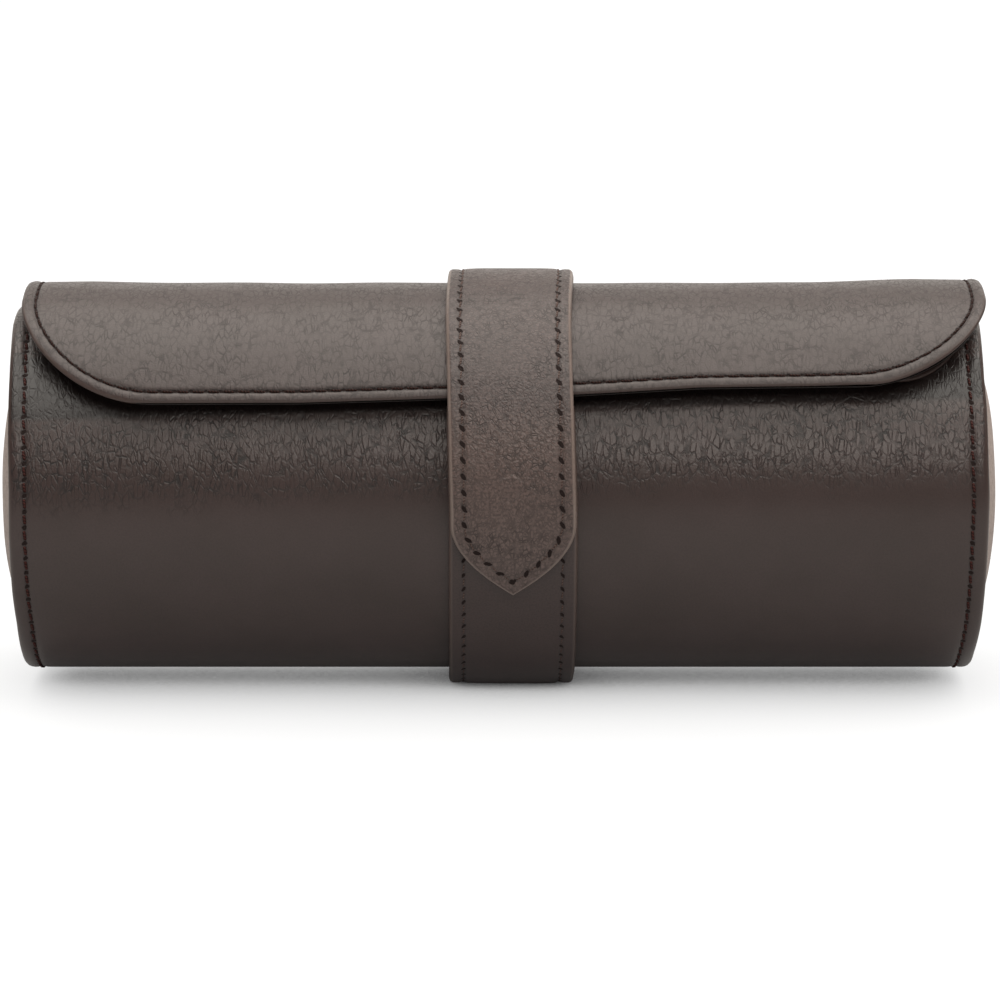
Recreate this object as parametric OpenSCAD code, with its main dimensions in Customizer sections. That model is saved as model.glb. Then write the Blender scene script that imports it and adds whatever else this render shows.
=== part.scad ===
// Travel case for three watches: a leather covered tube with padded ends, a flap hinged
// at the back, and a strap that goes round it and closes with a press stud at the front.
// Millimetres. The barrel lies along X, the front faces -Y, and Z is up. The origin is on
// the surface that the case rests on, below the barrel's axis, half way along it.
// Angles on the barrel and the flap start at the back (+Y), go over the top and reach
// 180 at the front and 270 below.

/* [Barrel] */
// Outside diameter of the tube over its leather
barrel_d = 81; // [76:0.5:90]
// Length of the tube over both rims
barrel_l = 210; // [190:1:250]
// Thickness of the outer leather
leather_t = 1.2; // [0.8:0.1:1.6]
// Thickness of the board tube
board_t = 1.8; // [1.2:0.1:2.4]
// Thickness of the soft lining
lining_t = 0.8; // [0.4:0.1:1.2]
// Rounding of the rims' outer edge
rim_round = 1; // [0.4:0.1:1.1]

/* [Window] */
// Width of the ring of tube left at each end of the window
rim_w = 6.5; // [5:0.5:12]
// Rounding of the window's corners
window_round = 12; // [6:1:20]
// Clearance on each side of a cushion as it comes out through the window
cuff_clear = 2.5; // [1.5:0.25:4]

/* [Padded ends] */
// Height of a padded end's crown above the rim
end_crown = 5.2; // [3:0.2:8]
// Depth of the end board below the rim
end_set_in = 3; // [2:0.25:5]
// Thickness of the end board
end_board_t = 2; // [1.5:0.25:3]
// Thickness of the leather over the end padding
end_cover_t = 1; // [0.6:0.1:1.4]
// Fullness of the padding, where 2 is a plain dome and more is squarer
end_fullness = 3.2; // [2:0.2:5]

/* [Dividers] */
// Thickness of a divider's board
divider_board_t = 1.8; // [1.2:0.1:3]
// Thickness of the lining material on a divider
divider_cover_t = 0.4; // [0.3:0.1:0.8]
// Height of a divider's straight top edge above the barrel's axis
divider_top = 26; // [20:1:29]

/* [Cushions] */
// Width of a cushion across the barrel
cuff_w = 50; // [46:0.5:53]
// Height of a cushion
cuff_h = 50; // [46:0.5:52]
// Rounding of the cushion's long edges
cuff_round = 20; // [14:0.5:21]
// Thickness of the sleeve and of the end panels
cuff_skin_t = 1; // [0.6:0.1:1.6]
// Clearance between a cushion's end and the divider or end lining
cuff_side_clear = 3.2; // [1:0.2:6]
// Clearance between a seated cushion and the lining under it
cuff_seat_clear = 0.3; // [0.2:0.05:0.6]

/* [Flap] */
// Width of the flap along the barrel
flap_w = 211; // [190:1:250]
// Offset of the flap to the right of the barrel's middle
flap_shift = 1.1; // [-2:0.1:2]
// Amount by which the flap is curved tighter inside than the barrel is outside
flap_hug = 1; // [0.6:0.1:1.1]
// Height of the flap's centre of curvature above the barrel's axis
flap_lift = 2.6; // [2.5:0.1:3.1]
// Distance of the flap's centre of curvature in front of the barrel's axis
flap_forward = 1.4; // [1.3:0.1:1.6]
// Angle of the hinge line about the flap's centre
hinge_angle = 30; // [24:1:32]
// Angle of the flap's front edge about the flap's centre
flap_front = 146; // [140:1:152]
// Angle where the flap's board starts, past the soft hinge
flap_board_from = 56; // [56:1:66]
// Rounding of the flap's front corners
flap_corner = 30; // [15:1:36]
// Thickness of the flap's board
flap_board_t = 1.5; // [1:0.1:1.6]
// Thickness of the flap's lining
flap_lining_t = 0.6; // [0.4:0.1:0.7]
// Distance from the flap's edge to its board, where the stitching runs
flap_margin = 4; // [3:0.5:8]

/* [Strap] */
// Width of the strap
strap_w = 27; // [22:0.5:34]
// Offset of the strap to the right of the barrel's middle
strap_shift = 2.6; // [-4:0.1:4]
// Thickness of the strap's outer leather
strap_leather_t = 1.2; // [0.9:0.1:1.5]
// Thickness of the filler that pads the strap's middle
strap_filler_t = 1.2; // [0.8:0.1:1.6]
// Thickness of the strap's inner leather
strap_lining_t = 0.9; // [0.6:0.1:1.2]
// Distance from the strap's edge to its filler
strap_margin = 3.2; // [2.5:0.1:5]
// Distance below the flap's front edge where the fixed strap starts
strap_edge_gap = 1.5; // [1:0.1:4]
// Depth of the flat that the strap gets from standing on it
rest_flat = 0.5; // [0.4:0.1:0.8]

/* [Tongue] */
// Amount by which the tongue is curved tighter inside than the fixed strap is outside
tongue_hug = 0.1; // [0:0.02:0.2]
// Thickness of the tongue's outer leather
tongue_leather_t = 1.3; // [1:0.1:1.4]
// Thickness of the tongue's inner leather
tongue_lining_t = 1.1; // [0.7:0.1:1.2]
// Angle of the tongue's tip about the flap's centre
tongue_tip = 203.6; // [198:0.2:206]
// Length of the tongue's pointed end
tongue_point_l = 17; // [12:0.5:22]
// Fullness of the pointed end, where 1 is a straight point and 2 is an ellipse
tongue_fullness = 1.5; // [1.2:0.1:2.2]

/* [Press stud] */
// Angle of the press stud about the barrel's axis
stud_angle = 170.7; // [168:0.1:174]
// Radius of the stud's flange
stud_flange_r = 4.2; // [3.8:0.1:4.6]
// Radius of the stud's head
stud_head_r = 1.85; // [1.6:0.05:2]
// Radius of the stud's neck
stud_neck_r = 1.6; // [1.3:0.05:1.6]
// Height of the stud's head above its flange
stud_h = 1.8; // [1.6:0.1:1.8]
// Radius of the rivet that holds the stud
rivet_r = 1; // [0.7:0.05:1.1]
// Outer radius of the socket
socket_r = 3.6; // [3.3:0.1:4]
// Clearance round the stud's head inside the socket
socket_clear = 0.4; // [0.35:0.05:0.5]
// Radius of the socket's hidden cap
cap_r = 3.15; // [2.6:0.05:3.4]

/* [Fits] */
// Opening left between two pieces that meet at a hinge line
hinge_gap = 0.3; // [0.2:0.05:0.6]
// Clearance round a piece that sits in a pocket or a hole
pocket_clear = 0.05; // [0.05:0.05:0.15]
// Clearance of the end boards and dividers in the lining
disc_clear = 0.2; // [0.1:0.05:0.4]

/* [Hidden] */
$fn = 96;

barrel_r = barrel_d / 2;
board_r = barrel_r - leather_t;
lining_r = board_r - board_t;
bore_r = lining_r - lining_t;
strap_t = strap_lining_t + strap_filler_t + strap_leather_t;
axis_z = barrel_r + strap_t - rest_flat;

flap_lining_r = barrel_r - flap_hug;
flap_inner_r = flap_lining_r + flap_lining_t;
flap_pad_r = flap_inner_r + flap_board_t;
flap_r = flap_pad_r + leather_t;
gap_angle = degrees(hinge_gap, flap_r);
flap_start = hinge_angle + gap_angle;
flap_turn_in = 2;
flap_thick_from = flap_board_from - degrees(flap_turn_in, flap_r);
margin_angle = degrees(flap_margin, flap_r);
corner_middle = flap_front - degrees(flap_corner, flap_r) / 2;
corner_ease = 0.05;
wedge_from = -70;
flap_edge = atan2(flap_r * sin(flap_front) + flap_lift, flap_r * cos(flap_front) - flap_forward);
strap_front = flap_edge + degrees(strap_edge_gap, barrel_r);

inner_half = barrel_l / 2 - end_set_in - end_board_t - lining_t;
divider_t = divider_board_t + 2 * divider_cover_t;
bay_l = (2 * inner_half - 2 * divider_t) / 3;
divider_x = (bay_l + divider_t) / 2;
cuff_l = bay_l - 2 * cuff_side_clear;
window_w = cuff_w + 2 * cuff_clear;
window_l = barrel_l - 2 * rim_w;

// A seated cushion's lower corners rest in the bore, so its place follows their radius
corner_y = cuff_w / 2 - cuff_round;
corner_reach = bore_r - cuff_seat_clear - cuff_round;
cuff_bottom = -sqrt(corner_reach * corner_reach - corner_y * corner_y) - cuff_round;
cuff_z = cuff_bottom + cuff_h / 2;

end_r = bore_r - disc_clear;
end_h = end_set_in + end_crown;
end_board_r = end_r - end_cover_t;

strap_outer_r = barrel_r + strap_t;
strap_past = 2;
strap_pocket_w = strap_w - 2 * strap_margin;
tongue_inner_r = strap_outer_r - tongue_hug;
tongue_seam_r = tongue_inner_r + tongue_lining_t;
tongue_outer_r = tongue_seam_r + tongue_leather_t;
tongue_start = flap_front + gap_angle;
tongue_middle = tongue_tip - degrees(tongue_point_l, tongue_outer_r) / 2;

// Heights along the press stud's axis, counted from the barrel's axis
stud_sink = 0.4;
stud_flange_t = 0.7;
stud_head_t = 0.9;
stud_bore_h = 1.3;
rivet_head_r = 3.5;
rivet_head_t = 0.5;
rivet_gap = 0.1;
socket_roof_t = 0.3;
cap_t = 0.5;
stud_seat_r = strap_outer_r - stud_sink;
stud_face_r = stud_seat_r + stud_flange_t;
stud_top_r = stud_face_r + stud_h;
socket_rim_r = stud_face_r + 0.25;
socket_roof_r = stud_top_r + 0.15;
socket_top_r = socket_roof_r + socket_roof_t;
cap_seat_r = socket_top_r + 0.2;
cap_top_r = cap_seat_r + cap_t;
socket_bore_r = stud_head_r + socket_clear;
spring_wire_r = 0.13;
spring_gap_angle = 40;

leather = [0.29, 0.24, 0.22];
strap_brown = [0.27, 0.21, 0.19];
pale = [0.86, 0.74, 0.70];
suede = [0.62, 0.52, 0.44];
card = [0.66, 0.56, 0.42];
foam = [0.90, 0.88, 0.80];
steel = [0.70, 0.70, 0.72];
far = 200;

function degrees(arc, r) = arc / r * 180 / PI;
function on_circle(r, a) = [r * cos(a), r * sin(a)];

// Outline height of a padded end at radius r: full in the middle, drawn in at the rim
function crown(h, full_r, r) = h * (1 - pow(r / full_r, end_fullness));

// Half width of the tongue's pointed end, t being 0 at its root and 1 at its tip
function point_half(half, t) =
    half * pow(max(0, 1 - pow(t, tongue_fullness)), 1 / tongue_fullness);

// Turns a shape drawn about Z so that it lies about the barrel's axis, with its X at the back
module along_barrel() { translate([0, 0, axis_z]) rotate([90, 0, 90]) children(); }

// The same about the flap's centre of curvature
module along_flap() {
    translate([0, -flap_forward, axis_z + flap_lift]) rotate([90, 0, 90]) children();
}

module rod(r, l, x = 0) { translate([0, 0, x - l / 2]) cylinder(r = r, h = l); }

// Part of a ring between two radii and two angles
module arc_band(r_in, r_out, from, to, w, x) {
    rotate([0, 0, from])
        rotate_extrude(angle = to - from)
            translate([r_in, x - w / 2]) square([r_out - r_in, w]);
}

// The back of the case where the leather leaves the tube for the flap, as a wedge that
// ends at the hinge line or a little past it
module back_wedge(past) {
    translate([0, 0, -far])
        linear_extrude(2 * far)
            polygon([
                [0, 0], on_circle(far, wedge_from), on_circle(far, wedge_from / 2),
                on_circle(far, 0), on_circle(far, hinge_angle + past)
            ]);
}

// Everything inside the outer leather, grown by t: the tube and the rise towards the hinge
module wrapped(t, w, x = 0, past = 0) {
    along_barrel() rod(barrel_r + t, w, x);
    intersection() {
        along_flap() rod(flap_r + t, w, x);
        along_flap() back_wedge(past);
    }
}

// The space over the window, from the hinge line to the start of the fixed strap
module above_strap() {
    hinge_far = on_circle(far, hinge_angle);
    along_barrel()
        translate([0, 0, -far])
            linear_extrude(2 * far)
                polygon([
                    [0, 0], on_circle(far, strap_front), [-far, 2 * far], [far, 2 * far],
                    [hinge_far[0] - flap_forward, hinge_far[1] + flap_lift],
                    [-flap_forward, flap_lift]
                ]);
}

module below_floor() { translate([-far, -far, -2 * far]) cube([2 * far, 2 * far, 2 * far]); }

// Rectangle with round corners, centred
module round_rect(w, h, r) {
    square([w - 2 * r, h], center = true);
    square([w, h - 2 * r], center = true);
    for (x = [-1, 1], y = [-1, 1])
        translate([x * (w / 2 - r), y * (h / 2 - r)]) circle(r);
}

module window_cut() {
    translate([0, 0, axis_z])
        linear_extrude(far)
            round_rect(window_l, window_w, window_round);
}

// ---- Barrel ----

module rim_profile() {
    straight = barrel_l / 2 - rim_round;
    translate([0, -barrel_l / 2]) square([barrel_r - rim_round, barrel_l]);
    translate([0, -straight]) square([barrel_r, 2 * straight]);
    for (side = [-1, 1])
        translate([barrel_r - rim_round, side * straight]) circle(rim_round);
}

module barrel_leather() {
    board_l = barrel_l - 2 * leather_t;
    color(leather)
        difference() {
            union() {
                along_barrel() rotate_extrude() rim_profile();
                wrapped(0, barrel_l - 2 * rim_round);
            }
            along_barrel() rod(board_r, board_l);
            along_barrel() rod(bore_r, 2 * far);
            wedge_space(board_l);
            window_cut();
        }
}

// Crescent between the tube's leather and the leather that rises to the hinge
module wedge_space(w) {
    difference() {
        intersection() {
            along_flap() rod(flap_r - leather_t, w);
            along_flap() back_wedge(0);
        }
        along_barrel() rod(barrel_r, w + 2);
    }
}

module hinge_filler() { color(card) wedge_space(barrel_l - 2 * leather_t); }

module barrel_board() {
    color(card)
        difference() {
            along_barrel() rod(board_r, barrel_l - 2 * leather_t);
            along_barrel() rod(lining_r, 2 * far);
            window_cut();
        }
}

module barrel_lining() {
    color(suede)
        difference() {
            along_barrel() rod(lining_r, barrel_l - 2 * leather_t);
            along_barrel() rod(bore_r, 2 * far);
            window_cut();
        }
}

// ---- Padded ends ----

// Places an end piece drawn with +Z pointing out of the case and Z = 0 on the end board
module at_end(side) {
    translate([side * (barrel_l / 2 - end_set_in), 0, axis_z])
        rotate([0, side * 90, 0])
            children();
}

// Solid under a padded skin of radius r and height h
module pad(r, h) {
    steps = 16;
    rotate_extrude()
        polygon([
            [0, 0],
            for (i = [steps:-1:0]) [r * sqrt(i / steps), crown(h, r, r * sqrt(i / steps))]
        ]);
}

module end_cover(side) {
    color(pale)
        at_end(side)
            difference() {
                union() {
                    pad(end_r, end_h);
                    translate([0, 0, -end_board_t]) cylinder(r = end_r, h = end_board_t);
                }
                pad(end_board_r, end_h - end_cover_t);
                translate([0, 0, -2 * end_board_t])
                    cylinder(r = end_board_r, h = 2 * end_board_t);
            }
}

module end_padding(side) { color(foam) at_end(side) pad(end_board_r, end_h - end_cover_t); }

module end_board(side) {
    color(card)
        at_end(side)
            translate([0, 0, -end_board_t]) cylinder(r = end_board_r, h = end_board_t);
}

module end_lining(side) {
    color(suede)
        at_end(side)
            translate([0, 0, -end_board_t - lining_t]) cylinder(r = end_r, h = lining_t);
}

// ---- Dividers ----

module divider_disc(side, t, top) {
    translate([side * divider_x, 0, 0])
        intersection() {
            along_barrel() rod(end_r, t);
            translate([-far, -far, axis_z - far]) cube([2 * far, 2 * far, far + top]);
        }
}

module divider_board(side) {
    color(card) divider_disc(side, divider_board_t, divider_top - divider_cover_t);
}

module divider_cover(side) {
    color(suede)
        difference() {
            divider_disc(side, divider_t, divider_top);
            divider_disc(side, divider_board_t, divider_top - divider_cover_t);
        }
}

// ---- Fixed strap ----

// Band of the strap's path round the barrel, between two heights above the leather
module strap_layer(t_in, t_out, w) {
    difference() {
        wrapped(t_out, w, strap_shift, strap_past);
        wrapped(t_in, w + 2, strap_shift, strap_past);
        above_strap();
        below_floor();
    }
}

// Places a piece of the press stud: +Z points out, and Z is the distance from the axis
module at_stud() {
    translate([strap_shift, 0, 0])
        along_barrel() rotate([0, 0, stud_angle]) rotate([0, 90, 0]) children();
}

module stud_rod(r, from, to) { at_stud() translate([0, 0, from]) cylinder(r = r, h = to - from); }

module strap_leather() {
    color(strap_brown)
        difference() {
            strap_layer(strap_lining_t, strap_t, strap_w);
            strap_layer(0, strap_lining_t + strap_filler_t, strap_pocket_w);
            stud_rod(stud_flange_r + pocket_clear, stud_seat_r, far);
            stud_rod(rivet_r + pocket_clear, barrel_r, far);
        }
}

module strap_filler() {
    color(card)
        difference() {
            strap_layer(strap_lining_t, strap_lining_t + strap_filler_t, strap_pocket_w);
            stud_rod(rivet_r + pocket_clear, barrel_r, far);
        }
}

module strap_lining() {
    color(strap_brown)
        difference() {
            strap_layer(0, strap_lining_t, strap_w);
            stud_rod(rivet_r + pocket_clear, board_r, far);
            stud_rod(rivet_head_r + pocket_clear, board_r, barrel_r + 2 * rivet_gap + rivet_head_t);
        }
}

module stud() {
    color(steel)
        difference() {
            union() {
                stud_rod(stud_flange_r, stud_seat_r, stud_face_r);
                stud_rod(stud_neck_r, stud_seat_r, stud_top_r - stud_head_t / 2);
                stud_rod(stud_head_r, stud_top_r - stud_head_t, stud_top_r);
            }
            stud_rod(rivet_r + pocket_clear, barrel_r, stud_seat_r + stud_bore_h);
        }
}

module stud_post() {
    color(steel) {
        stud_rod(rivet_head_r, barrel_r + rivet_gap, barrel_r + rivet_gap + rivet_head_t);
        stud_rod(rivet_r, barrel_r + rivet_gap, stud_seat_r + stud_bore_h - rivet_gap);
    }
}

// ---- Flap ----

// Cuts one front corner of the flap round, on the side given
module flap_corner_cut(side, inset) {
    r = flap_corner - inset;
    edge_y = flap_r * sin(flap_front - corner_middle) - inset;
    edge_x = flap_w / 2 - inset;
    along_flap()
        rotate([0, 0, corner_middle])
            translate([0, edge_y - r, flap_shift + side * (edge_x - r)])
                rotate([0, 90, 0])
                    difference() {
                        translate([side > 0 ? -far : 0, 0, flap_lining_r / 2]) cube([far, far, far]);
                        cylinder(r = r + corner_ease, h = 2 * far);
                    }
}

module flap_band(r_in, r_out, from, to, inset = 0) {
    difference() {
        along_flap() arc_band(r_in, r_out, from, to, flap_w - 2 * inset, flap_shift);
        for (side = [-1, 1]) flap_corner_cut(side, inset);
    }
}

module flap_leather() {
    color(leather)
        difference() {
            union() {
                flap_band(flap_pad_r, flap_r, flap_start, flap_front);
                flap_band(flap_inner_r, flap_r, flap_thick_from, flap_front);
            }
            flap_core(flap_inner_r - 1);
        }
}

// The board's shape from the radius given outwards, also cut out of the flap's leather
module flap_core(r_in) {
    flap_band(r_in, flap_pad_r, flap_board_from, flap_front - margin_angle, flap_margin);
}

module flap_board() { color(card) flap_core(flap_inner_r); }

module flap_lining() {
    step_from = flap_thick_from - degrees(flap_lining_t, flap_inner_r);
    color(suede) {
        flap_band(flap_pad_r - flap_lining_t, flap_pad_r, flap_start, flap_thick_from);
        flap_band(flap_lining_r, flap_pad_r, step_from, flap_thick_from);
        flap_band(flap_lining_r, flap_inner_r, step_from, flap_front);
    }
}

// Band of the strap's path over the flap
module flap_strap_layer(t_in, t_out, w) {
    along_flap() arc_band(flap_r + t_in, flap_r + t_out, flap_start, flap_front, w, strap_shift);
}

module flap_strap_leather() {
    color(strap_brown)
        difference() {
            flap_strap_layer(strap_lining_t, strap_t, strap_w);
            flap_strap_layer(0, strap_lining_t + strap_filler_t, strap_pocket_w);
        }
}

module flap_strap_filler() {
    color(card)
        flap_strap_layer(strap_lining_t, strap_lining_t + strap_filler_t, strap_pocket_w);
}

module flap_strap_lining() { color(strap_brown) flap_strap_layer(0, strap_lining_t, strap_w); }

// ---- Tongue ----

// Cuts the tongue's end to its point, square to the leather
module tongue_point_cut() {
    half = strap_w / 2;
    reach = tongue_outer_r * sin(tongue_tip - tongue_middle);
    steps = 14;
    along_flap()
        rotate([0, 0, tongue_middle])
            translate([0, 0, strap_shift])
                rotate([0, 90, 0])
                    linear_extrude(far)
                        difference() {
                            translate([-half - 2, -reach]) square([strap_w + 4, 2 * reach + 5]);
                            polygon([
                                [-half, -reach - 1],
                                for (i = [0:steps])
                                    [-point_half(half, i / steps), reach * (2 * i / steps - 1)],
                                for (i = [steps - 1:-1:0])
                                    [point_half(half, i / steps), reach * (2 * i / steps - 1)],
                                [half, -reach - 1]
                            ]);
                        }
}

module tongue_layer(r_in, r_out) {
    difference() {
        along_flap() arc_band(r_in, r_out, tongue_start, tongue_tip, strap_w, strap_shift);
        tongue_point_cut();
    }
}

module tongue_leather() {
    color(strap_brown)
        difference() {
            tongue_layer(tongue_seam_r, tongue_outer_r);
            stud_rod(socket_r + pocket_clear, strap_outer_r, socket_top_r + pocket_clear);
            stud_rod(cap_r + pocket_clear, strap_outer_r, cap_top_r + pocket_clear);
        }
}

module tongue_lining() {
    color(strap_brown)
        difference() {
            tongue_layer(tongue_inner_r, tongue_seam_r);
            stud_rod(socket_r + pocket_clear, strap_outer_r, far);
        }
}

module socket() {
    color(steel)
        difference() {
            stud_rod(socket_r, socket_rim_r, socket_top_r);
            stud_rod(socket_bore_r, barrel_r, socket_roof_r);
            stud_rod(rivet_r + pocket_clear, socket_rim_r, cap_top_r);
        }
}

module socket_cap() {
    color(steel) {
        stud_rod(cap_r, cap_seat_r, cap_top_r);
        stud_rod(rivet_r, socket_roof_r + pocket_clear, cap_top_r);
    }
}

module socket_spring() {
    color(steel)
        at_stud()
            translate([0, 0, (socket_rim_r + socket_roof_r) / 2])
                rotate_extrude(angle = 360 - spring_gap_angle)
                    translate([socket_bore_r - spring_wire_r - pocket_clear / 2, 0])
                        circle(spring_wire_r);
}

// ---- Cushions ----

module cuff_block(place, l, inset) {
    along_barrel()
        translate([0, cuff_z, place * (bay_l + divider_t) - l / 2])
            linear_extrude(l)
                round_rect(cuff_w - 2 * inset, cuff_h - 2 * inset, cuff_round - inset);
}

module cuff_core(place) {
    color(foam) cuff_block(place, cuff_l - 2 * cuff_skin_t, cuff_skin_t);
}

module cuff_sleeve(place) {
    color(suede)
        difference() {
            cuff_block(place, cuff_l, 0);
            cuff_block(place, cuff_l + 2, cuff_skin_t);
        }
}

module cuff_panels(place) {
    color(suede)
        difference() {
            cuff_block(place, cuff_l, cuff_skin_t);
            cuff_block(place, cuff_l - 2 * cuff_skin_t, 0);
        }
}

barrel_leather();
barrel_board();
barrel_lining();
hinge_filler();
end_board(-1);  // end_board_left
end_board(1);  // end_board_right
end_padding(-1);  // end_padding_left
end_padding(1);  // end_padding_right
end_cover(-1);  // end_cover_left
end_cover(1);  // end_cover_right
end_lining(-1);  // end_lining_left
end_lining(1);  // end_lining_right
divider_board(-1);  // divider_board_left
divider_board(1);  // divider_board_right
divider_cover(-1);  // divider_cover_left
divider_cover(1);  // divider_cover_right
strap_leather();
strap_filler();
strap_lining();
stud();
stud_post();
flap_leather();
flap_board();
flap_lining();
flap_strap_leather();
flap_strap_filler();
flap_strap_lining();
tongue_leather();
tongue_lining();
socket();
socket_cap();
socket_spring();
cuff_core(-1);  // cuff_left_core
cuff_sleeve(-1);  // cuff_left_sleeve
cuff_panels(-1);  // cuff_left_panels
cuff_core(0);  // cuff_middle_core
cuff_sleeve(0);  // cuff_middle_sleeve
cuff_panels(0);  // cuff_middle_panels
cuff_core(1);  // cuff_right_core
cuff_sleeve(1);  // cuff_right_sleeve
cuff_panels(1);  // cuff_right_panels
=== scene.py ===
import math

import bpy
import numpy as np
from mathutils import Matrix, Vector


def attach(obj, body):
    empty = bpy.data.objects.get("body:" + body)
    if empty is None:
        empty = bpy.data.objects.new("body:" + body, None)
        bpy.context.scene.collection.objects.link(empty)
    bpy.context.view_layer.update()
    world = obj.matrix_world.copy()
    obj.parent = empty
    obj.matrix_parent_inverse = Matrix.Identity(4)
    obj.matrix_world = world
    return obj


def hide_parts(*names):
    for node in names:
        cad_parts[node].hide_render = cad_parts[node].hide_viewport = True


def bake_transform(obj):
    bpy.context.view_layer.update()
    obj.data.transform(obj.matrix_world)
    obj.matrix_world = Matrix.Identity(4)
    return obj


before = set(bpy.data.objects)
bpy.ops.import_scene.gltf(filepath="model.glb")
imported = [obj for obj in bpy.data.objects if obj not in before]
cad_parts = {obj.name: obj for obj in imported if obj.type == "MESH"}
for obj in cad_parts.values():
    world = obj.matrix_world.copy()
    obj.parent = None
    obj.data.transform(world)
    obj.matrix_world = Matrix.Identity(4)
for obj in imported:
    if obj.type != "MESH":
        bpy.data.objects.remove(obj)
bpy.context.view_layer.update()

# Watch travel case. All lengths in this file are millimetres until a mesh is written, which
# turns them into metres. Angles start at the back, go over the top and reach 180 at the front.
axisZ = 43.3
barrelAxis = (0.0, axisZ)
flapAxis = (-1.4, axisZ + 2.6)
barrelR = 40.5
boreR = 36.7
rimX = 105.0
flapR = 42.8
strapX = 2.6
strapHalf = 13.5


# Smooth step from 0 at a to 1 at b: t^2 (3 - 2 t)
def ramp(a, b, value):
    t = np.clip((value - a) / (b - a), 0, 1)
    return t * t * (3 - 2 * t)


# Distance from the barrel's axis, in the direction of the angle, to a circle about the flap's centre
def offCentre(radius, angle):
    cy, cz = flapAxis[0] - barrelAxis[0], flapAxis[1] - barrelAxis[1]
    along = np.cos(angle) * cy + np.sin(angle) * cz
    return along + np.sqrt(radius ** 2 - cy ** 2 - cz ** 2 + along ** 2)


# The larger of two lengths, with their crossing rounded over the width given
def softMax(a, b, width):
    return 0.5 * (a + b + np.sqrt((a - b) ** 2 + width ** 2))


# Rounded edge: a quarter circle, from 0 at the edge to 1 at the radius given
def roundedOver(near, radius):
    return np.sqrt(np.clip(1 - (1 - np.clip(near / radius, 0, 1)) ** 2, 0, 1))


# Running length along a line of points
def lengthAlong(line):
    return np.concatenate([[0], np.cumsum(np.hypot(*np.diff(line, axis=0).T))])


# A path across the barrel: arc length, place and outward normal at each of its points
def pathOf(y, z):
    dy, dz = np.gradient(y), np.gradient(z)
    size = np.hypot(dy, dz)
    return {"s": lengthAlong(np.stack([y, z], -1)), "y": y, "z": z, "ny": dz / size, "nz": -dy / size}


# Points at arc length s, height h over the path and place x along the barrel
def onPath(path, s, x, h):
    y, z, ny, nz = (np.interp(s, path["s"], path[k]) for k in ("y", "z", "ny", "nz"))
    size = np.hypot(ny, nz)
    return np.stack(np.broadcast_arrays(x, y + h * ny / size, z + h * nz / size), -1)


# Polyline with points at equal steps, as near to the step given as its length allows
def resample(line, step):
    length = lengthAlong(line)
    count = max(2, int(round(length[-1] / step)) + 1)
    at = np.linspace(0, length[-1], count)
    return np.stack([np.interp(at, length, line[:, k]) for k in (0, 1)], -1)


# For each point of a flat pattern, its distance to a polyline and the arc length of the nearest place
def nearLine(px, ps, line):
    seg = np.diff(line, axis=0)
    length = np.hypot(seg[:, 0], seg[:, 1])
    start = np.concatenate([[0], np.cumsum(length)[:-1]])
    unit = seg / length[:, None]
    flat = np.stack([np.ravel(px), np.ravel(ps)], -1)
    dist, along = np.empty(len(flat)), np.empty(len(flat))
    for first in range(0, len(flat), 4000):
        part = flat[first:first + 4000, None, :] - line[None, :-1, :]
        t = np.clip((part * unit).sum(-1), 0, length)
        away = np.hypot(part[..., 0] - t * unit[:, 0], part[..., 1] - t * unit[:, 1])
        best = away.argmin(1)
        rows = np.arange(len(best))
        dist[first:first + 4000] = away[rows, best]
        along[first:first + 4000] = start[best] + t[rows, best]
    return dist.reshape(np.shape(px)), along.reshape(np.shape(px))


# The line at a distance inside an outline, on its left as it runs, without the loops at sharp corners
def insetLine(outline, inset, step=0.5):
    line = resample(outline, step)
    d = np.gradient(line, axis=0)
    d /= np.hypot(d[:, 0], d[:, 1])[:, None]
    moved = line + inset * np.stack([-d[:, 1], d[:, 0]], -1)
    dist, _ = nearLine(moved[:, 0], moved[:, 1], line)
    return resample(moved[dist > inset - 0.03], step)


# Slow waves of about half a millimetre at strength 1, fixed by the seed, in a flat pattern
def unevenness(x, s, seed=0.0, size=26.0):
    k = 2 * math.pi / size
    a = np.sin(k * x + 1.3 * np.sin(k * 0.7 * s + seed) + seed)
    b = np.sin(k * 1.31 * s + 1.1 * np.sin(k * 0.55 * x + 2 * seed) + 2.1 * seed)
    c = np.sin(k * 0.43 * (x + 1.7 * s) + 3.3 * seed)
    return (a + b + c) / 6


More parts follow.
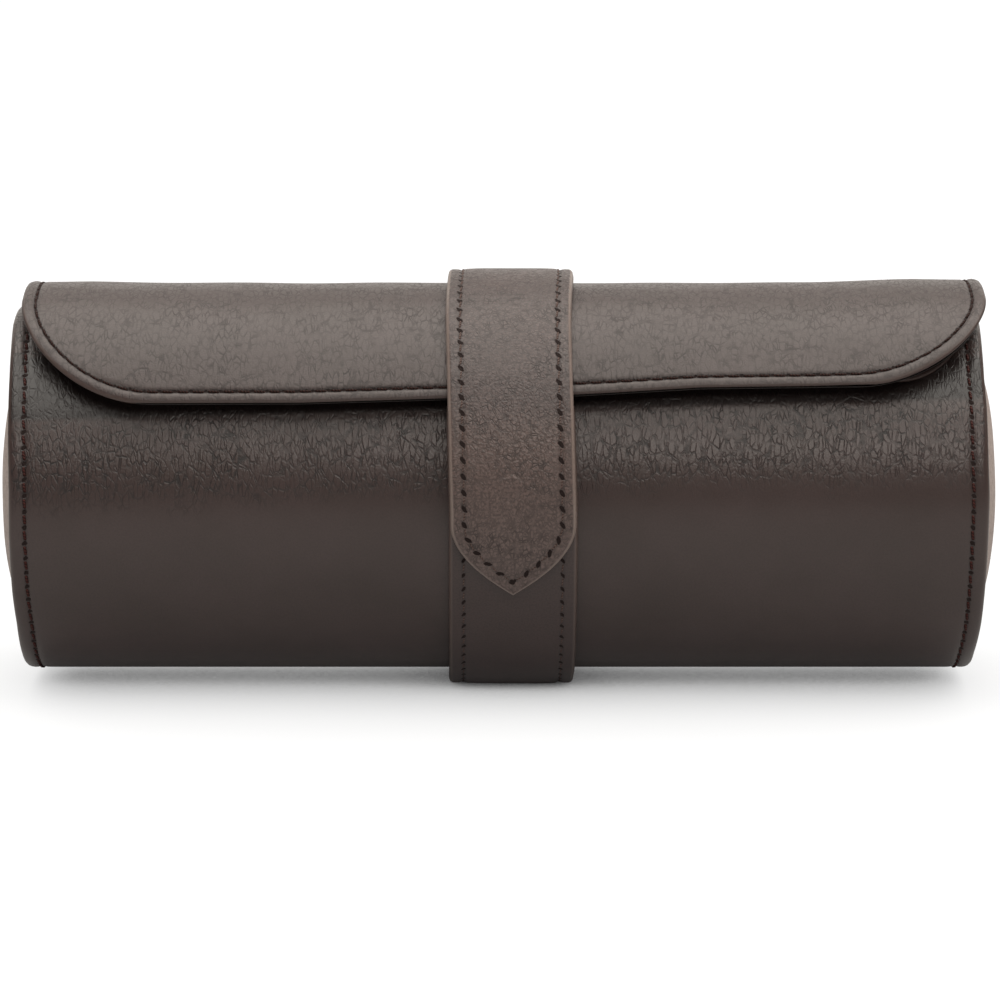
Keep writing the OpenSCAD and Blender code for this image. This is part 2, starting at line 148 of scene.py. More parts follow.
# Mesh from points in millimetres and four-cornered faces. A point that is merged into another takes
# its place but keeps its own values in the maps. Faces turn so that a closed mesh has its volume inside.
def makeMesh(name, points, faces, maps, merge=None, flip=None):
    points = np.asarray(points, float).reshape(-1, 3)
    faces = np.asarray(faces)
    merge = np.arange(len(points)) if merge is None else merge
    corners = merge[faces]
    used, flat = np.unique(corners, return_inverse=True)
    corners = flat.reshape(corners.shape)
    places = points[used] * 0.001
    if flip is None:
        a, b, c, d = (places[corners[:, k]] for k in range(4))
        volume = (a * np.cross(b, c)).sum() + (a * np.cross(c, d)).sum()
        flip = volume < 0
    if flip:
        corners, faces = corners[:, ::-1], faces[:, ::-1]
    keep = np.stack([corners[:, k] != corners[:, k - 1] for k in range(4)], -1)
    polygons = [row[mask] for row, mask in zip(corners, keep)]
    mapped = [row[mask] for row, mask in zip(faces, keep)]
    pairs = [(p.tolist(), m) for p, m in zip(polygons, mapped) if len(p) > 2]
    mesh = bpy.data.meshes.new(name)
    mesh.from_pydata(places.tolist(), [], [p for p, _ in pairs])
    loops = np.concatenate([m for _, m in pairs])
    for key, values in maps.items():
        layer = mesh.uv_layers.new(name=key)
        values = np.asarray(values, float).reshape(-1, 2)
        layer.data.foreach_set("uv", values[loops].astype(np.float32).ravel())
    mesh.polygons.foreach_set("use_smooth", [True] * len(mesh.polygons))
    mesh.update()
    obj = bpy.data.objects.new(name, mesh)
    bpy.context.collection.objects.link(obj)
    return obj


# Faces of a grid with n rows and m columns, whose first point has the number given
def gridFaces(n, m, first=0):
    i, j = np.meshgrid(np.arange(n - 1), np.arange(m - 1), indexing="ij")
    a = first + i * m + j
    return np.stack([a, a + 1, a + m + 1, a + m], -1).reshape(-1, 4)


# Closed sheet from an outer and an inner grid whose edges are the same points
def closedSheet(name, outer, inner, maps):
    n, m = outer.shape[:2]
    points = np.concatenate([outer.reshape(-1, 3), inner.reshape(-1, 3)])
    merge = np.arange(2 * n * m)
    edge = np.zeros((n, m), bool)
    edge[[0, -1], :] = True
    edge[:, [0, -1]] = True
    merge[n * m:][edge.ravel()] = np.arange(n * m)[edge.ravel()]
    faces = np.concatenate([gridFaces(n, m), gridFaces(n, m, n * m)[:, ::-1]])
    maps = {k: np.concatenate([v.reshape(-1, 2), v.reshape(-1, 2)]) for k, v in maps.items()}
    return makeMesh(name, points, faces, maps, merge)


# Thread stitches between needle holes at equal steps on a line of a flat pattern. place(x, s, h) puts
# a point of the pattern at height h. Each stitch is a low arch, round in section, ends in its holes and
# lies at a small slant to the line.
stitchForm = {"pitch": 3.5, "hole": 0.75, "radius": 0.27, "arch": 0.15, "dive": 0.55, "slant": 0.12,
              "rings": 7, "sides": 6}


def stitches(name, line, place, keep=None, form=stitchForm):
    length = lengthAlong(line)
    count = int(round(length[-1] / form["pitch"]))
    pitch = length[-1] / count
    rings, sides = form["rings"], form["sides"]
    t = np.linspace(-1, 1, rings)
    reach = pitch / 2 - form["hole"] * 0.5
    radius = form["radius"] * np.sqrt(np.clip(1 - np.abs(t) ** 6 * 0.75, 0.05, 1))
    turn = np.arange(sides) * 2 * math.pi / sides
    middle = (np.arange(count) + 0.5) * pitch
    at = middle[:, None] + t[None, :] * reach
    x = np.interp(at, length, line[:, 0])
    s = np.interp(at, length, line[:, 1])
    dx = np.interp(at + 0.05, length, line[:, 0]) - np.interp(at - 0.05, length, line[:, 0])
    ds = np.interp(at + 0.05, length, line[:, 1]) - np.interp(at - 0.05, length, line[:, 1])
    size = np.maximum(np.hypot(dx, ds), 1e-6)
    nx, ns = -ds / size, dx / size
    side = form["slant"] * t[None, :] * reach
    height = form["arch"] * (1 - t ** 2) - form["dive"] * np.abs(t) ** 8
    across = side[..., None] + radius[None, :, None] * np.cos(turn)
    up = height[None, :, None] + radius[None, :, None] * np.sin(turn)
    points = place(x[..., None] + across * nx[..., None], s[..., None] + across * ns[..., None], up)
    wanted = np.ones(count, bool) if keep is None else keep(x[:, rings // 2], s[:, rings // 2])
    points = points[wanted]
    many = len(points)
    ring = np.arange(sides + 1) % sides
    base = np.arange(rings)[:, None] * sides + ring[None, :]
    quads = np.stack([base[:-1, :-1], base[:-1, 1:], base[1:, 1:], base[1:, :-1]], -1).reshape(-1, 4)
    first, last = np.arange(sides), (rings - 1) * sides + np.arange(sides)
    caps = [first[[0, 3, 2, 1]], first[[0, 5, 4, 3]], last[[0, 1, 2, 3]], last[[0, 3, 4, 5]]]
    quads = np.concatenate([quads, np.array(caps)])
    faces = (np.arange(many)[:, None, None] * rings * sides + quads[None]).reshape(-1, 4)
    u = np.broadcast_to(at[wanted][:, :, None], points.shape[:3])
    v = np.broadcast_to(turn[None, None, :], points.shape[:3])
    return makeMesh(name, points, faces, {"skin": np.stack([u, v], -1)})


# The pattern values that a leather with a seam needs: flat place in millimetres, and stitch count
# along the seam with the distance inwards from it
def seamMaps(x, s, outline, inset, pitch):
    seam = insetLine(outline, inset)
    length = lengthAlong(seam)[-1]
    count = int(round(length / pitch))
    dist, _ = nearLine(x, s, outline)
    _, along = nearLine(x, s, seam)
    return seam, dist, {"skin": np.stack([x, s], -1),
                        "seam": np.stack([along / length * count, dist - inset], -1)}


# Steps from one end to the other of a span, close at both ends where an edge is rounded
def graded(a, b, edge, step):
    inside = np.linspace(0, 1, max(2, int((b - a - 2 * edge[-1]) / step) + 1))
    middle = a + edge[-1] + inside * (b - a - 2 * edge[-1])
    edge = np.asarray(edge[:-1])
    return np.concatenate([a + edge, middle, (b - edge)[::-1]])


# The linear colour of an sRGB hex value
def linear(hexValue):
    parts = [int(hexValue[k:k + 2], 16) / 255 for k in (1, 3, 5)]
    return tuple(c / 12.92 if c <= 0.04045 else ((c + 0.055) / 1.055) ** 2.4 for c in parts) + (1.0,)


# Adds a node with its settings. An input is a value, a socket, or a node whose first output feeds it.
def node(tree, kind, inputs=None, **settings):
    made = tree.nodes.new("ShaderNode" + kind)
    for key, value in settings.items():
        setattr(made, key, value)
    for key, value in (inputs or {}).items():
        value = value.outputs[0] if hasattr(value, "outputs") else value
        if isinstance(value, bpy.types.NodeSocket):
            tree.links.new(value, made.inputs[key])
        else:
            made.inputs[key].default_value = value
    return made


def newMaterial(name):
    made = bpy.data.materials.new(name)
    made.use_nodes = True
    made.node_tree.nodes.clear()
    return made, made.node_tree


def closeMaterial(tree, shader):
    node(tree, "OutputMaterial", {"Surface": shader})


# Grain of the leather at a place of its pattern: thin creases round cells drawn out along the skin,
# broken lines round groups of cells, and a fine grit on top. Where the skin is pulled smooth, all of
# it fades. Gives the height and how much of a crease each place is.
def grain(tree, skin, look):
    cell, turn = look["cell"], math.radians(look["turn"])
    wander = node(tree, "TexNoise", {"Vector": skin, "Scale": 0.4 / cell, "Detail": 2.0})
    shifted = node(tree, "VectorMath", {0: wander.outputs["Color"], "Scale": cell * 0.5}, operation="SCALE")
    moved = node(tree, "VectorMath", {0: skin, 1: shifted}, operation="ADD")
    close = node(tree, "Mapping", {"Vector": moved, "Rotation": (0, 0, turn),
                                   "Scale": (1 / cell, look["draw"] / cell, 1.0)})
    cells = node(tree, "TexVoronoi", {"Vector": close, "Scale": 1.0}, feature="DISTANCE_TO_EDGE")
    thin = node(tree, "MapRange", {0: cells, 1: 0.0, 2: look["line"], 3: 1.0, 4: 0.0},
                interpolation_type="SMOOTHSTEP")
    wide = node(tree, "Mapping", {"Vector": moved, "Location": (7.3, 2.1, 0.0), "Rotation": (0, 0, -0.4 * turn),
                                  "Scale": (0.42 / cell, 0.42 * look["draw"] / cell, 1.0)})
    groups = node(tree, "TexVoronoi", {"Vector": wide, "Scale": 1.0}, feature="DISTANCE_TO_EDGE")
    outline = node(tree, "MapRange", {0: groups, 1: 0.0, 2: 0.45 * look["line"], 3: 1.0, 4: 0.0},
                   interpolation_type="SMOOTHSTEP")
    gaps = node(tree, "TexNoise", {"Vector": skin, "Scale": 0.55 / cell, "Detail": 1.0})
    broken = node(tree, "MapRange", {0: gaps, 1: 0.36, 2: 0.6, 3: 0.35, 4: 1.0})
    creases = node(tree, "Math", {0: thin, 1: outline}, operation="MAXIMUM")
    creases = node(tree, "Math", {0: creases, 1: broken}, operation="MULTIPLY")
    pull = node(tree, "TexNoise", {"Vector": skin, "Scale": 0.09, "Detail": 2.0})
    loose = node(tree, "MapRange", {0: pull, 1: 0.35, 2: 0.6, 3: 0.6, 4: 1.0})
    if "calm" in look:
        along = node(tree, "SeparateXYZ", {0: skin})
        wavy = node(tree, "Math", {0: pull, 1: 14.0, 2: along.outputs[1]}, operation="MULTIPLY_ADD")
        wavy = node(tree, "Math", {0: along.outputs[0], 1: look["lean"], 2: wavy}, operation="MULTIPLY_ADD")
        first, full, last, gone = (value + 7.0 for value in look["calm"])  # 7 is the middle of the waves added
        rising = node(tree, "MapRange", {0: wavy, 1: first, 2: full, 3: 0.0, 4: 0.93},
                      interpolation_type="SMOOTHSTEP")
        falling = node(tree, "MapRange", {0: wavy, 1: last, 2: gone, 3: 1.0, 4: 0.3},
                       interpolation_type="SMOOTHSTEP")
        calm = node(tree, "Math", {0: rising, 1: falling}, operation="MULTIPLY")
        calm = node(tree, "Math", {0: 1.0, 1: calm}, operation="SUBTRACT")
        loose = node(tree, "Math", {0: loose, 1: calm}, operation="MULTIPLY")
    fine = node(tree, "TexNoise", {"Vector": skin, "Scale": look["fine"], "Detail": 1.0, "Roughness": 0.5})
    mounds = node(tree, "TexNoise", {"Vector": close, "Scale": 1.1, "Detail": 1.0})
    grit = node(tree, "Math", {0: fine, 1: look["grit"]}, operation="MULTIPLY")
    grit = node(tree, "Math", {0: mounds, 1: look["mound"], 2: grit}, operation="MULTIPLY_ADD")
    raised = node(tree, "Math", {0: creases, 1: -look["cut"], 2: grit}, operation="MULTIPLY_ADD")
    height = node(tree, "Math", {0: raised, 1: loose}, operation="MULTIPLY")
    sunk = node(tree, "Math", {0: creases, 1: loose}, operation="MULTIPLY")
    return height, sunk


# A seam at the stitch count and inward distance that the UV map "seam" holds: slanted holes with ragged
# rims, a dark line between them, and a painted edge. Gives the new colour, height and matt places.
def sewnSeam(tree, look, colour, height):
    split = node(tree, "SeparateXYZ", {0: node(tree, "UVMap", uv_map="seam")})
    step = node(tree, "Math", {0: split.outputs[0], 1: 0.5}, operation="ADD")
    part = node(tree, "Math", {0: step}, operation="FRACT")
    part = node(tree, "Math", {0: part, 1: 0.5}, operation="SUBTRACT")
    part = node(tree, "Math", {0: part, 1: look["pitch"]}, operation="MULTIPLY")
    part = node(tree, "Math", {0: split.outputs[1], 1: look["holeSlant"], 2: part}, operation="MULTIPLY_ADD")
    inwards = node(tree, "Math", {0: split.outputs[1], 1: look["holeShape"]}, operation="MULTIPLY")
    place = node(tree, "CombineXYZ", {0: part, 1: inwards})
    ragged = node(tree, "TexNoise", {"Vector": node(tree, "UVMap", uv_map="skin"), "Scale": 1.7, "Detail": 1.0})
    away = node(tree, "VectorMath", {0: place}, operation="LENGTH")
    away = node(tree, "Math", {0: ragged, 1: 0.5, 2: away.outputs["Value"]}, operation="MULTIPLY_ADD")
    hole = node(tree, "MapRange", {0: away, 1: 0.25 + look["hole"], 2: 0.5 + look["hole"], 3: 1.0, 4: 0.0},
                interpolation_type="SMOOTHSTEP")
    side = node(tree, "Math", {0: split.outputs[1]}, operation="ABSOLUTE")
    side = node(tree, "Math", {0: ragged, 1: 0.7, 2: side}, operation="MULTIPLY_ADD")
    line = node(tree, "MapRange", {0: side, 1: 0.5, 2: 0.5 + look["lineWidth"], 3: 1.0, 4: 0.0},
                interpolation_type="SMOOTHSTEP")
    edge = node(tree, "MapRange", {0: split.outputs[1], 1: 0.45 - look["inset"], 2: 0.95 - look["inset"],
                                   3: 1.0, 4: 0.0}, interpolation_type="SMOOTHSTEP")
    dim = node(tree, "Math", {0: line, 1: look["lineDark"]}, operation="MULTIPLY")
    last = colour
    for mask, tint in ((dim, "#150b09"), (hole, "#1d0d0a"), (edge, look["edge"])):
        last = node(tree, "Mix", {0: mask, 6: last, 7: linear(tint)}, data_type="RGBA").outputs[2]
    down = node(tree, "Math", {0: hole, 1: -look["holeDepth"], 2: height}, operation="MULTIPLY_ADD")
    flat = node(tree, "Math", {0: 1.0, 1: edge}, operation="SUBTRACT")
    matt = node(tree, "Math", {0: hole, 1: dim}, operation="MAXIMUM")
    return last, node(tree, "Math", {0: down, 1: flat}, operation="MULTIPLY"), matt


# Colour of the skin: slow dye clouds, paler where it is handled, darker specks, and painted shade in the creases.
# Under the closed flap beside the window, down to a slanted line just below its lip, painted shade darkens it
# further.
def skinColour(tree, skin, look, sunk):
    place = node(tree, "SeparateXYZ", {0: skin})
    slow = node(tree, "TexNoise", {"Vector": skin, "Scale": 0.05, "Detail": 3.0, "Roughness": 0.55})
    tone = node(tree, "MapRange", {0: slow, 1: 0.3, 2: 0.7, 3: 0.0, 4: 1.0})
    last = node(tree, "Mix", {0: tone, 6: linear(look["deep"]), 7: linear(look["face"])}, data_type="RGBA").outputs[2]
    if "handled" in look:
        first, full = look["handled"]
        worn = node(tree, "MapRange", {0: place.outputs[1], 1: first, 2: full, 3: 0.0, 4: 1.0},
                    interpolation_type="SMOOTHSTEP")
        last = node(tree, "Mix", {0: worn, 6: last, 7: linear(look["paler"])}, data_type="RGBA").outputs[2]
    specks = node(tree, "TexNoise", {"Vector": skin, "Scale": look["fine"], "Detail": 1.0})
    specks = node(tree, "MapRange", {0: specks, 1: 0.42, 2: 0.62, 3: 0.0, 4: look["speck"]})
    # Painted shade in the creases, joined with the darker specks that are the skin's own colour
    specksAndShade = node(tree, "Math", {0: sunk, 1: look["creaseShade"]}, operation="MULTIPLY")
    specksAndShade = node(tree, "Math", {0: specksAndShade, 1: specks}, operation="MAXIMUM")
    # Painted shade: the shadow of the closed flap's lip, over the skin beside the window down to a slanted line
    if "covered" in look:
        end, slope = look["covered"]
        border = node(tree, "Math", {0: place.outputs[0], 1: -slope, 2: place.outputs[1]}, operation="MULTIPLY_ADD")
        below = node(tree, "MapRange", {0: border, 1: end - 0.5, 2: end + 1.0, 3: 1.0, 4: 0.0})
        above = node(tree, "MapRange", {0: place.outputs[1], 1: 88.0, 2: 90.0, 3: 0.0, 4: 0.9})
        lipShadow = node(tree, "Math", {0: below, 1: above}, operation="MULTIPLY")
        specksAndShade = node(tree, "Math", {0: specksAndShade, 1: lipShadow}, operation="MAXIMUM")
    return node(tree, "Mix", {0: specksAndShade, 6: last, 7: linear(look["speckAndShadeTint"])}, data_type="RGBA").outputs[2]


# Drum dyed calf leather, embossed with a fine pebble grain and aniline finished: cells about 1 mm
# wide and drawn out round the barrel, a low sheen that glints on the grain, and painted shade in the creases.
# The tongue's skin is paler where it is handled, and shows the press stud's ring.
def leather(name, look):
    made, tree = newMaterial(name)
    skin = node(tree, "UVMap", uv_map="skin")
    bump, sunk = grain(tree, skin, look)
    colour = skinColour(tree, skin, look, sunk)
    if "ring" in look:
        press = node(tree, "SeparateXYZ", {0: node(tree, "UVMap", uv_map="press")})
        off = node(tree, "Math", {0: press.outputs[0], 1: look["ring"]}, operation="SUBTRACT")
        off = node(tree, "Math", {0: off}, operation="ABSOLUTE")
        ring = node(tree, "MapRange", {0: off, 1: 0.0, 2: 0.7, 3: 1.0, 4: 0.0}, interpolation_type="SMOOTHSTEP")
        bump = node(tree, "Math", {0: ring, 1: -0.8, 2: bump}, operation="MULTIPLY_ADD")
    rough = node(tree, "MapRange", {0: sunk, 1: 0.0, 2: 1.0, 3: look["rough"], 4: look["rough"] + 0.2})
    if "pitch" in look:
        colour, bump, matt = sewnSeam(tree, look, colour, bump)
        rough = node(tree, "Math", {0: rough, 1: matt}, operation="MAXIMUM")
    relieved = node(tree, "Bump", {"Strength": 1.0, "Distance": look["relief"] * 0.001, "Height": bump})
    shader = node(tree, "BsdfPrincipled", {"Base Color": colour, "Roughness": rough, "IOR": 1.5, "Normal": relieved,
                                           "Specular IOR Level": look["gloss"]})
    closeMaterial(tree, shader)
    return made


# Looks of the leather. Lengths are millimetres: cell, relief, pitch, inset, hole, lineWidth, and the
# arc lengths of the calm band and of the painted shade under the flap's lip. fine is in grains per millimetre, turn
# in degrees, the rest are shares.
# The crease tint paints shade into the creases and under the flap's lip, and colours the darker specks.
pebbled = {"cell": 1.1, "draw": 0.4, "turn": -6.0, "line": 0.15, "cut": 0.8, "lean": 0.03,
           "fine": 2.3, "grit": 0.5, "mound": 0.5, "speck": 0.14, "relief": 0.09,
           "face": "#4a3b39", "deep": "#433532", "speckAndShadeTint": "#1a1110", "edge": "#4b3b37",
           "creaseShade": 1.0, "rough": 0.33, "gloss": 0.6, "pitch": 3.5, "inset": 3.5, "hole": 0.42, "holeShape": 1.0,
           "holeSlant": 0.3, "holeDepth": 0.8, "lineWidth": 0.6, "lineDark": 0.4}
flapLook = dict(pebbled, cell=1.15, turn=4.0, line=0.16, cut=0.55, grit=0.8, relief=0.075, speck=0.2, creaseShade=0.6,
                rough=0.38, pitch=3.3, inset=3.0, lineWidth=0.5, lineDark=0.95, hole=0.25, holeSlant=0.0)
strapLook = dict(pebbled, cell=1.1, draw=0.75, turn=12.0, line=0.16, cut=0.4, grit=0.9, speck=0.25, relief=0.08,
                 rough=0.37, face="#4b3b39", deep="#443533", edge="#5f4f4a", creaseShade=0.5,
                 inset=3.0, hole=0.55, holeShape=1.1, holeSlant=0.75, lineDark=0.15)
unsewn = {key: value for key, value in pebbled.items() if key not in ("pitch", "inset")}
# The facing's near-black colour is painted shade for the dark gap under the flap's lip.
facingLook = dict(unsewn, cell=1.15, turn=4.0, line=0.16, cut=0.55, grit=0.8, relief=0.05, speck=0.2, creaseShade=0.6,
                  rough=0.38, face="#241a18", deep="#1e1513")
# On the pads too, the crease tint paints shade into the creases.
paleLook = dict(unsewn, cell=0.9, draw=0.8, turn=0.0, speck=0.0, grit=0.4, relief=0.05, creaseShade=0.5,
                rough=0.5, gloss=0.4, face="#bdaba4", deep="#b5a39c", speckAndShadeTint="#8f7c75")
# The barrel's skin has painted shade under the closed flap's lip.
barrelLeather = leather("pebbledCalfLeather", dict(pebbled, calm=(118.0, 125.5, 172.0, 196.0),
                                                   covered=(103.4, -0.0254)))
flapLeather = leather("pebbledCalfLeatherFlap", flapLook)
facingLeather = leather("smoothCalfFacing", facingLook)
strapLeather = leather("strapCalfLeather", dict(strapLook, inset=3.2, hole=0.4, calm=(18.0, 36.0, 96.0, 120.0)))
trimLeather = leather("thinCalfEdging", dict(pebbled, cell=0.9, inset=1.3, relief=0.08))
paleLeather = leather("paleNappaLeather", paleLook)


# Microfibre suede: a short, dense, slightly brushed nap, seen as soft light and dark patches about 11 mm
# wide, fibres of 0.6 mm, a faint sheen at grazing angles and no gloss
def suede(name, look):
    made, tree = newMaterial(name)
    place = node(tree, "TexCoord")
    fine = node(tree, "TexNoise", {"Vector": place.outputs["Object"], "Scale": 1800.0, "Detail": 2.0})
    brushed = node(tree, "TexNoise", {"Vector": place.outputs["Object"], "Scale": 90.0, "Detail": 4.0,
                                      "Roughness": 0.6, "Distortion": 0.8})
    both = node(tree, "Math", {0: fine, 1: 0.5, 2: brushed}, operation="MULTIPLY_ADD")
    tone = node(tree, "MapRange", {0: both, 1: 0.5, 2: 1.0, 3: 0.0, 4: 1.0})
    colour = node(tree, "Mix", {0: tone, 6: linear(look["dark"]), 7: linear(look["light"])}, data_type="RGBA")
    nap = node(tree, "Bump", {"Strength": 0.35, "Distance": 0.0002, "Height": both})
    shader = node(tree, "BsdfPrincipled", {"Base Color": colour.outputs[2], "Roughness": 0.95, "Normal": nap,
                                           "Specular IOR Level": 0.2, "Sheen Weight": 0.45,
                                           "Sheen Roughness": 0.35, "Sheen Tint": linear(look["light"])})
    closeMaterial(tree, shader)
    return made


liningSuede = suede("microfibreSuede", {"dark": "#8b7462", "light": "#a68d78"})
cushionSuede = suede("cushionSuede", {"dark": "#93796a", "light": "#b2978a"})


# Waxed polyester thread: two twisted strands, reddish brown, with a soft wax gloss. A darker one
# is used in the flap's deep seam.
def waxedThread(name, dark, light):
    made, tree = newMaterial(name)
    skin = node(tree, "UVMap", uv_map="skin")
    split = node(tree, "SeparateXYZ", {0: skin})
    along = node(tree, "Math", {0: split.outputs[0], 1: 9.0}, operation="MULTIPLY")
    turned = node(tree, "Math", {0: along, 1: split.outputs[1]}, operation="ADD")
    twist = node(tree, "Math", {0: turned}, operation="SINE")
    tone = node(tree, "MapRange", {0: twist, 1: -1.0, 2: 0.4, 3: 0.0, 4: 1.0})
    colour = node(tree, "Mix", {0: tone, 6: linear(dark), 7: linear(light)}, data_type="RGBA")
    bump = node(tree, "Bump", {"Strength": 0.5, "Distance": 0.0001, "Height": twist})
    shader = node(tree, "BsdfPrincipled", {"Base Color": colour.outputs[2], "Roughness": 0.65, "Normal": bump,
                                           "Specular IOR Level": 0.2})
    closeMaterial(tree, shader)
    return made


thread = waxedThread("waxedThread", "#2a1210", "#4a2622")
strapThread = waxedThread("waxedThreadStrap", "#463532", "#6b5852")
paleThread = waxedThread("waxedThreadPale", "#6d5649", "#a1887a")
darkThread = waxedThread("waxedThreadDark", "#1a0d0a", "#331a15")


# Nickel plated steel, turned and tumbled: bright, with marks of 0.4 mm and soft highlights
def nickelPlate():
    made, tree = newMaterial("nickelPlatedSteel")
    place = node(tree, "TexCoord")
    marks = node(tree, "TexNoise", {"Vector": place.outputs["Object"], "Scale": 2500.0, "Detail": 3.0})
    rough = node(tree, "MapRange", {0: marks, 1: 0.3, 2: 0.7, 3: 0.2, 4: 0.32})
    bump = node(tree, "Bump", {"Strength": 0.08, "Distance": 0.0001, "Height": marks})
    shader = node(tree, "BsdfPrincipled", {"Base Color": linear("#c9c4bb"), "Metallic": 1.0, "Roughness": rough,
                                           "Normal": bump})
    closeMaterial(tree, shader)
    return made


# Grey-brown bookbinding board: matt, with pressed fibres of 1.4 mm as a fine relief
def fibreBoard(dark, light):
    made, tree = newMaterial("bookbindingBoard")
    place = node(tree, "TexCoord")
    fibres = node(tree, "TexNoise", {"Vector": place.outputs["Object"], "Scale": 700.0, "Detail": 5.0,
                                     "Roughness": 0.65})
    tone = node(tree, "MapRange", {0: fibres, 1: 0.3, 2: 0.7, 3: 0.0, 4: 1.0})
    colour = node(tree, "Mix", {0: tone, 6: linear(dark), 7: linear(light)}, data_type="RGBA")
    bump = node(tree, "Bump", {"Strength": 0.4, "Distance": 0.0002, "Height": fibres})
    shader = node(tree, "BsdfPrincipled", {"Base Color": colour.outputs[2], "Roughness": 0.9, "Normal": bump})
    closeMaterial(tree, shader)
    return made


nickel = nickelPlate()
board = fibreBoard("#7d6a52", "#a18c6f")
print("materials ready")


# Barrel: leather tube, lining and window edging. Lengths in mm, seamIn from the rim.
tube = {"seamIn": 3.5, "stitches": 73, "windowX": 98.5, "windowY": 27.5, "windowRound": 12.0, "groove": 0.22,
        "start": -14.0, "leather": 0.9, "lining": 0.7}


# How far the turned leather stands out at both rims, by the angle: most at the top left, where the
# flap's pull bunches it. It starts 15 mm from the rim and leaves the inner turn where it is.
rimAngles = [-14, 60, 90, 105, 122, 134, 145, 155, 164, 173, 187, 207, 220, 238, 270, 346]
rimOut = {-1: [0.3, 0.5, 1.7, 1.8, 1.35, 1.1, 0.95, 0.8, 0.6, 0.5, 0.6, 0.5, 0.2, 0.25, 0.2, 0.3],
          1: [0.3, 0.3, 0.3, 0.6, 0.3, 0.15, 0.35, 0.35, 0.4, 0.6, 0.45, 0.3, 0.2, -0.2, 0.0, 0.3]}


def rimShift(x, r, a):
    out = [np.interp(np.degrees(a), rimAngles, rimOut[side]) for side in (-1, 1)]
    return np.where(x < 0, -out[0], out[1]) * ramp(88, 102.5, np.abs(x)) * ramp(36.8, 38.2, r)


# Point of a ring about the barrel's axis, at place x, radius r and angle a
def onBarrel(x, r, a):
    x, r, a = np.broadcast_arrays(x, r, a)
    return np.stack([x, barrelAxis[0] + r * np.cos(a), barrelAxis[1] + r * np.sin(a)], -1)


# Signed distance in plan from the window's outline, below zero inside it, and its direction outwards
def windowEdge(x, y):
    r = tube["windowRound"]
    qx, qy = np.abs(x) - (tube["windowX"] - r), np.abs(y) - (tube["windowY"] - r)
    ox, oy = np.maximum(qx, 0), np.maximum(qy, 0)
    size = np.hypot(ox, oy)
    dist = size + np.minimum(np.maximum(qx, qy), 0) - r
    corner = size > 1e-9
    gx = np.where(corner, ox / np.maximum(size, 1e-9), (qx > qy) * 1.0) * np.sign(x)
    gy = np.where(corner, oy / np.maximum(size, 1e-9), (qx <= qy) * 1.0) * np.sign(y)
    return dist, gx, gy


# Tube from a profile (place x, radius) turned about the barrel's axis, with the window left out of
# its top. Points beside the window are moved onto its outline.
def windowTube(name, profile, turns, wall, outwards):
    length = lengthAlong(profile)
    start = math.radians(tube["start"])
    a = start + np.arange(turns + 1) * 2 * math.pi / turns
    x, angle = np.broadcast_arrays(profile[:, None, 0], a[None, :])
    r = np.broadcast_to(profile[:, None, 1], x.shape)
    points = onBarrel(x + (rimShift(x, r, angle) if outwards else 0), r, angle)
    n, m = x.shape
    merge = np.arange(n * m).reshape(n, m)
    merge[:, -1] = merge[:, 0]
    faces = gridFaces(n, m)
    y, top = points[..., 1].copy(), points[..., 2] > axisZ
    middle = [points.reshape(-1, 3)[faces].mean(1)[:, k] for k in range(3)]
    inside = (windowEdge(middle[0], middle[1])[0] < 0) & (middle[2] > axisZ)
    touched = np.zeros(n * m, int)
    np.bitwise_or.at(touched, merge.ravel()[faces[inside]].ravel(), 1)
    np.bitwise_or.at(touched, merge.ravel()[faces[~inside]].ravel(), 2)
    rimmed = (touched == 3).reshape(n, m)
    dist, gx, gy = windowEdge(x, y)
    newX = np.where(rimmed, x - dist * gx, x)
    newY = np.clip(np.where(rimmed, y - dist * gy, y), -r, r)
    newA = np.where(rimmed & top, np.arccos(newY / r), angle)
    points = np.where(rimmed[..., None], onBarrel(newX, r, newA), points)
    run = np.broadcast_to(length[:, None] - length[-1] / 2, x.shape)
    inward = rimX - np.abs(x) - tube["seamIn"]
    inward = np.where(r > profile[:, 1].max() - 1.2, inward, -tube["seamIn"])
    count = np.broadcast_to((a - start)[None, :] / (2 * math.pi) * tube["stitches"], x.shape)
    maps = {"skin": np.stack([run, angle * profile[:, 1].max()], -1), "seam": np.stack([count, inward], -1)}
    made = makeMesh(name, points, faces[~inside], maps, merge.ravel(), flip=not outwards)
    wallMod = made.modifiers.new("wall", "SOLIDIFY")
    wallMod.thickness = wall * 0.001
    wallMod.offset = -1
    return made


rim = np.array([(101.4, 36.85), (102.4, 36.8), (103.5, 36.85), (104.3, 37.1), (104.85, 37.6), (105.0, 38.4),
                (105.0, 39.1), (104.8, 39.75), (104.35, 40.2), (103.8, 40.42), (103.2, 40.5), (102.6, 40.48),
                (102.1, 40.38), (101.75, 40.28), (101.5, 40.25), (101.25, 40.28), (100.9, 40.38), (100.4, 40.47),
                (99.6, 40.5)])
cross = np.linspace(-98.0, 98.0, 131)
outside = np.concatenate([rim * [-1, 1], np.stack([cross, np.full_like(cross, barrelR)], -1), rim[::-1]])
barrelSkin = windowTube("barrelSkin", outside, 180, tube["leather"], True)
barrelSkin.data.materials.append(barrelLeather)
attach(barrelSkin, "barrel")
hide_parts("barrel_leather")

inside = np.stack([np.linspace(-101.9, 101.9, 120), np.full(120, boreR)], -1)
barrelInside = windowTube("barrelInside", inside, 150, tube["lining"], False)
barrelInside.data.materials.append(liningSuede)
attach(barrelInside, "barrel")
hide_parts("barrel_lining")


def onRim(a, x, h):
    turn = a / barrelR
    return onBarrel(x + rimShift(x, barrelR, turn), barrelR - tube["groove"] + h, turn)


